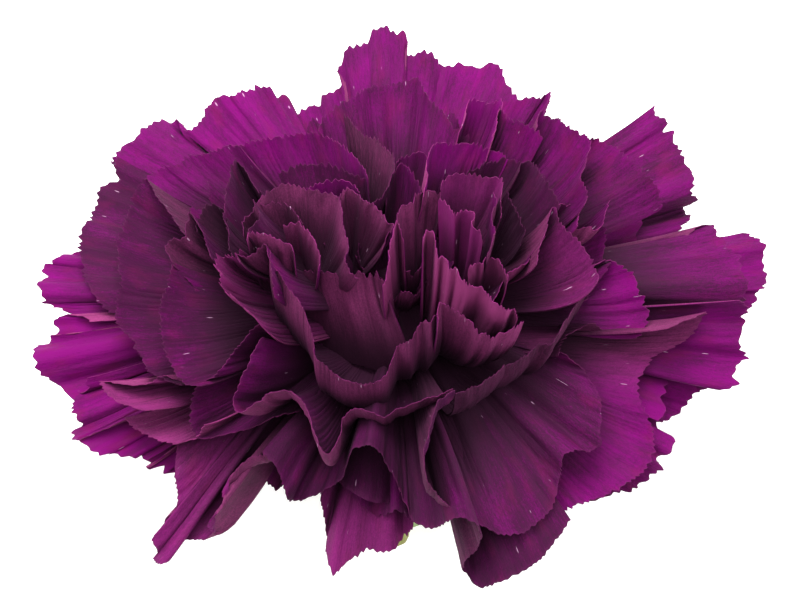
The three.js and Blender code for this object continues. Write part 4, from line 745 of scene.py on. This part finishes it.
def addBracts(material):
    # four pointed scales that clasp the calyx, each a blade bent round it: half width w(t) of the
    # base width, t from the base to the tip, and a raised keel down the middle
    for index in range(bracts["count"]):
        outside = index % 2
        t = np.linspace(0, 1, bracts["rows"])[:, None]
        across = np.linspace(-1, 1, bracts["columns"])[None, :]
        half = np.sqrt(np.clip(1 - t ** 2.2, 0, 1)) * (1 - bracts["narrowing"] * t)
        half = half * bracts["halfWidth"]
        angle = index * 2 * np.pi / bracts["count"] + across * half
        length = bracts["top"] - bracts["bottom"] - bracts["outerDrop"] * outside
        height = bracts["bottom"] + t * length
        radius = np.interp(height, calyx["outline"][:, 1], calyx["outline"][:, 0])
        gap = bracts["gap"] + bracts["outerGap"] * outside + bracts["tipGap"] * t ** 3
        keel = bracts["keel"] * np.exp(-(across * half / bracts["keelWidth"]) ** 2) * (1 - t)
        radius = radius + gap + bracts["sideGap"] * across ** 2 + keel
        grid = np.stack([radius * np.cos(angle), radius * np.sin(angle), height + 0 * angle], -1)
        thickness = bracts["thickness"] - bracts["thinning"] * t
        thickness = thickness * (1 - bracts["sideThinning"] * across ** 4)
        upper = grid + surfaceNormal(grid) * thickness[..., None]
        points = np.vstack([upper.reshape(-1, 3), grid.reshape(-1, 3)])
        side = np.tile((across + 0 * t).ravel() * 5, 2)
        rise = np.tile((t + 0 * across).ravel(), 2)
        growth = np.stack([side, points[:, 2], 0 * side], 1)
        skin = np.stack([rise * 0.6, np.ones(len(points)), rise], 1)
        faces = shellFaces(*grid.shape[:2])
        piece = addMesh(f"bract{index + 1}", points, faces, growth, skin, material, "bracts")


# rounded over at the straight cut, which dips a little towards its middle, and swelling under the
# calyx, where it ends inside the calyx's base
stub = {
    "outline": [[0.9, -30], [1.4, -30.07], [1.62, -30.1], [1.73, -30], [1.75, -29.8],
                [1.75, -29], [1.82, -27.55], [2, -26.75], [2.5, -26.15], [3.05, -25.65],
                [2.9, -25.4], [0.2, -25.4]],
    "dip": -29.96,
    "cutRings": 3,             # the rings that make up the cut face
    "radius": 1.75,
    "sides": 48,
    "ribs": 9,
    "ribHeight": 0.02,
}


def addStem(material):
    points, faces = capped(ribbed(stub), stub["dip"], stub["outline"][-1][1])
    number = np.arange(len(points))
    cutFace = (number < stub["cutRings"] * stub["sides"]) | (number == len(points) - 2)
    outward = np.hypot(points[:, 0], points[:, 1]) / stub["radius"]
    skin = np.stack([cutFace, np.ones(len(points)), outward], 1)
    piece = addMesh("stemStub", points, faces, roundGrowth(points, 2), skin, material, "stem", 50)


class Wire:
    # an output socket of a node: each operator on it adds one Math node and gives its output
    def __init__(self, finish, socket):
        self.finish = finish
        self.socket = socket

    def maths(self, operation, *values):
        return self.finish.node("ShaderNodeMath", {"operation": operation}, dict(enumerate(values)))

    def __add__(self, other):
        return self.maths("ADD", self, other)

    def __mul__(self, other):
        return self.maths("MULTIPLY", self, other)

    def __sub__(self, other):
        return self.maths("SUBTRACT", self, other)

    def __rsub__(self, other):
        return self.maths("SUBTRACT", other, self)

    def __pow__(self, other):
        return self.maths("POWER", self, other)

    __radd__ = __add__
    __rmul__ = __mul__

    def within(self, low, high):
        # 0 below low, 1 above high, smooth between
        return self.finish.node("ShaderNodeMapRange", {"interpolation_type": "SMOOTHSTEP"},
                                {"Value": self, "From Min": low, "From Max": high})

    def clipped(self):
        return self.finish.node("ShaderNodeClamp", {}, {"Value": self})


class Finish:
    # one material while it is made
    def __init__(self, name):
        self.material = bpy.data.materials.new(name)
        self.material.use_nodes = True
        self.tree = self.material.node_tree
        self.tree.nodes.clear()

    def node(self, kind, settings, sockets, output=0):
        # makes a node: its settings first, then a value or a link for each socket
        made = self.tree.nodes.new(kind)
        for name, value in settings.items():
            setattr(made, name, value)
        for name, value in sockets.items():
            if isinstance(value, Wire):
                self.tree.links.new(value.socket, made.inputs[name])
            else:
                made.inputs[name].default_value = value
        return Wire(self, made.outputs[output])

    def blend(self, share, one, other):
        # colour mix: share 0 gives one, 1 gives other
        return self.node("ShaderNodeMix", {"data_type": "RGBA", "clamp_factor": True},
                         {0: share, 6: one, 7: other}, 2)

    def parts(self, attribute):
        # the three numbers of a piece's attribute
        vector = self.node("ShaderNodeAttribute", {"attribute_name": attribute}, {}, 1)
        split = self.node("ShaderNodeSeparateXYZ", {}, {0: vector}).socket.node
        return [Wire(self, output) for output in split.outputs]

    def noise(self, x, y, z, detail=2.0, roughness=0.5):
        place = self.node("ShaderNodeCombineXYZ", {}, {0: x, 1: y, 2: z})
        return self.node("ShaderNodeTexNoise", {}, {
            "Vector": place, "Scale": 1.0, "Detail": detail, "Roughness": roughness})

    def close(self, base, roughness, height, bump, settings, through=None):
        # principled skin with a bump, and a share of light let through where the piece is thin
        normal = self.node("ShaderNodeBump", {}, {**bump, "Height": height})
        surface = self.node("ShaderNodeBsdfPrincipled", {}, {
            "Base Color": base, "Roughness": roughness, "Normal": normal, **settings})
        if through:
            glow = self.node("ShaderNodeBsdfTranslucent", {},
                             {"Color": through["colour"], "Normal": normal})
            surface = self.node("ShaderNodeMixShader", {},
                                {0: through["share"], 1: surface, 2: glow})
        output = self.tree.nodes.new("ShaderNodeOutputMaterial")
        self.tree.links.new(surface.socket, output.inputs["Surface"])
        return self.material


def colour(red, green, blue):
    # 0..255 screen values to linear light, with alpha 1
    share = np.array([red, green, blue]) / 255
    linear = np.where(share <= 0.04045, share / 12.92, ((share + 0.055) / 1.055) ** 2.4)
    return (*linear.tolist(), 1.0)


petalColours = {
    "black": colour(35, 17, 30),
    "shadow": colour(39, 19, 33),
    "dull": colour(78, 27, 62),
    "deep": colour(60, 13, 50),
    "bright": colour(104, 6, 90),
    "wine": colour(102, 16, 66),
    "outerDeep": colour(44, 19, 37),
    # outer side's pale end: partly its own paler colour and partly a painted sheen
    "outerPaleSheen": colour(136, 52, 104),
    "paleRimAndHighlight": colour(96, 34, 78),
    "fleckAndGlint": colour(206, 160, 196),
    "glow": colour(112, 12, 96),
    "sheen": colour(190, 130, 178),
}

# the petals' noises: changes to a mm along the rim and out from the foot, the slice of the noise
# that is used, its detail and its roughness
petalNoises = {
    "streak": (4.5, 0.35, 0, 3.0, 0.6),
    "fine": (11.0, 1.2, 5, 2.0, 0.5),
    "broad": (0.4, 0.2, 9, 2.0, 0.5),
    "crepe": (3.6, 2.6, 13, 3.0, 0.7),
    "grain": (8.0, 8.0, 51, 1.0, 0.5),
    "dull": (0.7, 0.1, 31, 2.0, 0.5),
    "wine": (0.5, 0.3, 41, 2.0, 0.5),
    "fleckAndGlint": (3.4, 0.75, 21, 0.0, 0.5),
}

petalFinish = {
    "creviceShadeReach": 0.007,          # m, how near other petals stand where the painted shade darkens the skin
    "openFrom": 0.58,          # the openness past which no painted shade is added
    "footShade": 0.92,
    "roughness": 0.62,
    "bump": {"Strength": 0.45, "Distance": 0.00025},
    "sheen": {"Sheen Weight": 0.03, "Sheen Roughness": 0.45, "Specular IOR Level": 0.03},
    "through": 0.12,
}


def petalMaterial():
    # the inner side runs black, deep, bright with the petal's tone and its noises, with dull and
    # wine patches; the outer side is paler, partly a painted sheen; both sink into a painted shade
    # towards the foot and where other petals stand close, and the rim has a pale line and pale
    # specks, partly painted highlights
    petal = Finish("petalSkin")
    along, out, number = petal.parts("growth")
    tone, inside, rise = petal.parts("skin")
    streak, fine, broad, crepe, grain, dull, wine, fleckAndGlint = [
        petal.noise(along * across, out * length, number + cut, detail, roughness)
        for across, length, cut, detail, roughness in petalNoises.values()]
    light = (tone + (streak - 0.5) * 0.42 + (broad - 0.5) * 0.7 + (fine - 0.5) * 0.28
             + (crepe - 0.5) * 0.5 + (grain - 0.5) * 0.35).clipped()
    dark = petal.blend(light * 2.0, petalColours["black"], petalColours["deep"])
    inner = petal.blend(light * 2.0 - 1.0, dark, petalColours["bright"])
    inner = petal.blend(dull.within(0.44, 0.72) * tone * 0.3, inner, petalColours["dull"])
    inner = petal.blend(wine.within(0.5, 0.75) * tone * 0.5, inner, petalColours["wine"])
    shade = tone * 0.9 + (streak - 0.5) * 0.4 + (broad + crepe + grain - 1.5) * 0.45
    shade = shade.clipped() ** 2.0
    # the outer side's pale mauve is partly its own paler colour and partly a painted sheen
    outer = petal.blend(shade, petalColours["outerDeep"], petalColours["outerPaleSheen"])
    base = petal.blend(inside, outer, inner)
    # painted shade: the colour darkens into the shadow colour towards the foot
    depth = rise.within(0.0, 0.95) * petalFinish["footShade"] + (1 - petalFinish["footShade"])
    base = petal.blend(depth, petalColours["shadow"], base)
    # painted shade: the skin darkens into the shadow colour where other petals stand close, by
    # ambient occlusion
    openness = petal.node("ShaderNodeAmbientOcclusion", {"samples": 6},
                          {"Distance": petalFinish["creviceShadeReach"]}, 1)
    base = petal.blend(openness.within(0.0, petalFinish["openFrom"]), petalColours["shadow"], base)
    # pale rim line: partly the rim's own paler edge and partly a painted highlight where the rims
    # catch the light
    base = petal.blend(rise.within(0.97, 1.0) * streak * 0.3, base, petalColours["paleRimAndHighlight"])
    # pale specks: partly the petal's own specks and partly painted glints
    base = petal.blend(fleckAndGlint.within(0.84, 0.89) * 0.5, base, petalColours["fleckAndGlint"])
    height = streak * 0.45 + fine * 0.2 + crepe * 0.6 * rise + grain * 0.25
    glow = petal.blend(light, base, petalColours["glow"])
    roughness = petalFinish["roughness"] + (crepe - 0.5) * 0.15
    return petal.close(base, roughness, height, petalFinish["bump"],
                       {**petalFinish["sheen"], "Sheen Tint": petalColours["sheen"]},
                       {"share": petalFinish["through"], "colour": glow})


greenColours = {
    "calyxFoot": colour(114, 136, 70),
    "calyx": colour(90, 120, 56),
    "tip": colour(188, 188, 138),
    "mottle": colour(138, 156, 102),
    "stemDark": colour(112, 116, 54),
    "stemPale": colour(152, 150, 80),
    "pith": colour(226, 226, 196),
    "pithRing": colour(176, 190, 132),
    "pores": colour(150, 160, 108),
}


def calyxMaterial():
    # veins along the tube, pale tips, and a soft mottle over all
    green = Finish("calyxGreen")
    along, out, number = green.parts("growth")
    height, _, rise = green.parts("skin")
    vein = green.noise(along * 2.2, out * 0.12, number, 2.0)
    mottle = green.noise(along * 0.7, out * 0.6, number + 4.0, 3.0)
    depth = (height * 0.8 + (vein - 0.5) * 0.8).clipped()
    base = green.blend(depth, greenColours["calyxFoot"], greenColours["calyx"])
    base = green.blend(rise.within(0.9, 1.08) * 0.8, base, greenColours["tip"])
    base = green.blend(mottle.within(0.55, 0.8) * 0.3, base, greenColours["mottle"])
    return green.close(base, 0.42 + mottle * 0.2, vein + mottle * 0.4,
                       {"Strength": 0.35, "Distance": 0.0002}, {"Specular IOR Level": 0.4})


def stemMaterial():
    # a grained skin, and on the cut a pale pith with a green ring round it and small pores
    green = Finish("stemGreen")
    along, out, number = green.parts("growth")
    cut, _, radius = green.parts("skin")
    grain = green.noise(along * 2.5, out * 0.3, number, 3.0)
    skin = green.blend(grain, greenColours["stemDark"], greenColours["stemPale"])
    ring = radius.within(0.55, 0.8) * (1 - radius.within(0.85, 0.97))
    pith = green.blend(ring, greenColours["pith"], greenColours["pithRing"])
    pores = green.noise(along * 3.0, radius * 9.0, number + 2.0, 2.0)
    pith = green.blend(pores.within(0.5, 0.7) * 0.4, pith, greenColours["pores"])
    base = green.blend(cut, skin, pith)
    return green.close(base, 0.5 + grain * 0.15, grain, {"Strength": 0.3, "Distance": 0.0002},
                       {"Specular IOR Level": 0.4})


def floorMaterial():
    paper = Finish("paleFloor")
    place = paper.node("ShaderNodeTexCoord", {}, {}, "Object")
    grain = paper.node("ShaderNodeTexNoise", {}, {"Vector": place, "Scale": 40.0, "Detail": 2.0})
    base = paper.blend(grain, colour(250, 250, 250), colour(253, 253, 253))
    return paper.close(base, 0.9, grain, {"Strength": 0.02, "Distance": 0.0001},
                       {"Emission Color": colour(250, 250, 250), "Emission Strength": 0.3})


def addFloor():
    half = 1.6
    points = [(-half, -half, 0), (half, -half, 0), (half, half, 0), (-half, half, 0)]
    mesh = bpy.data.meshes.new("floor")
    mesh.from_pydata(points, [], [(0, 1, 2, 3)])
    mesh.materials.append(floorMaterial())
    floor = bpy.data.objects.new("floor", mesh)
    bpy.context.scene.collection.objects.link(floor)


picture = {
    "width": 800, "height": 600,           # pixels
    "throatX": 392, "throatY": 330,
    "pixelsPerMm": 10,
    "sensor": 36,
}


def addCamera():
    # looks down on the flower along the line that meets its axis at seenFrom degrees; the shift
    # puts the throat where it stands in the picture
    camera = bpy.data.cameras.new("camera")
    camera.sensor_width = picture["sensor"]
    seenWidth = picture["width"] / picture["pixelsPerMm"]
    camera.lens = picture["sensor"] * lying["eyeDistance"] / seenWidth
    camera.shift_x = (picture["width"] / 2 - picture["throatX"]) / picture["width"]
    camera.shift_y = (picture["throatY"] - picture["height"] / 2) / picture["width"]
    camera.clip_end = 20
    holder = bpy.data.objects.new("camera", camera)
    height = np.radians(lying["seenFrom"] + lying["lean"])
    away = np.array([0, -np.cos(height), np.sin(height)]) * lying["eyeDistance"] * mm
    holder.location = restShift + away
    holder.rotation_euler = (np.pi / 2 - height, 0, 0)
    bpy.context.scene.collection.objects.link(holder)
    bpy.context.scene.camera = holder


lamps = {
    # place (m), size (m), power (W) and colour of each soft light
    "behind": {"place": (-0.15, 0.85, 1.0), "size": 0.9, "power": 32, "colour": (1, 0.99, 0.98)},
    "above": {"place": (0.1, 0.1, 1.3), "size": 1.2, "power": 13, "colour": (1, 1, 1)},
    "left": {"place": (-0.95, 0.2, 0.6), "size": 0.8, "power": 9, "colour": (1, 1, 1)},
    "right": {"place": (0.95, 0.25, 0.6), "size": 0.8, "power": 9, "colour": (1, 1, 1)},
}
skyStrength = 0.55
lampAim = Vector((0, 0, 0.02))


def addLights():
    for name, lamp in lamps.items():
        light = bpy.data.lights.new(name, "AREA")
        light.shape = "DISK"
        light.size = lamp["size"]
        light.energy = lamp["power"]
        light.color = lamp["colour"]
        holder = bpy.data.objects.new(name, light)
        holder.location = lamp["place"]
        holder.rotation_euler = (lampAim - holder.location).to_track_quat("-Z", "Y").to_euler()
        bpy.context.scene.collection.objects.link(holder)
    world = bpy.data.worlds.new("softSky")
    world.use_nodes = True
    background = world.node_tree.nodes["Background"]
    background.inputs["Color"].default_value = (1, 1, 1, 1)
    background.inputs["Strength"].default_value = skyStrength
    bpy.context.scene.world = world
    bpy.context.scene.view_settings.view_transform = "Standard"


def leanShift():
    # where the throat stands: the stem's box gives x, the calyx's lowest y as the same outline
    # leans back gives y, and the surface through the stub's end gives z
    cosine, sine = np.cos(np.radians(lying["lean"])), np.sin(np.radians(lying["lean"]))
    lowest = (calyx["outline"][:, 1] * sine - calyx["outline"][:, 0] * cosine).min()
    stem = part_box("stem")
    x = (stem[0][0] + stem[1][0]) / 2
    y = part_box("calyx")[0][1] - lowest * mm
    return np.array([x, y, -lying["stubEnd"] * cosine * mm])


restShift = leanShift()
print("throat at", restShift)

# the petals of one kind make a piece, and those past the tenth a second one; each ring makes one
petalsPerPiece = 10
batches = {}
for number, petal in enumerate(seenPetals):
    name = petal["kind"] + "Petals"
    if len(batches.get(name, [])) >= petalsPerPiece:
        name += "Too"
    batches.setdefault(name, []).append((petal, seenRim(petal["rim"]), number))
for place, ring in enumerate(hiddenRings):
    batches[ring["name"] + "Petals"] = [
        (ring, ringRim(ring, index), 100 + 10 * place + index) for index in range(ring["count"])]

petalSkin = petalMaterial()
for name, batch in batches.items():
    addPetals(name, batch, petalSkin)
addClawBundle(petalSkin)
print("claw bundle")

calyxGreen = calyxMaterial()
addCalyx(calyxGreen)
addBracts(calyxGreen)
addStem(stemMaterial())
print("green parts")

addFloor()
addLights()
addCamera()
print("stage")
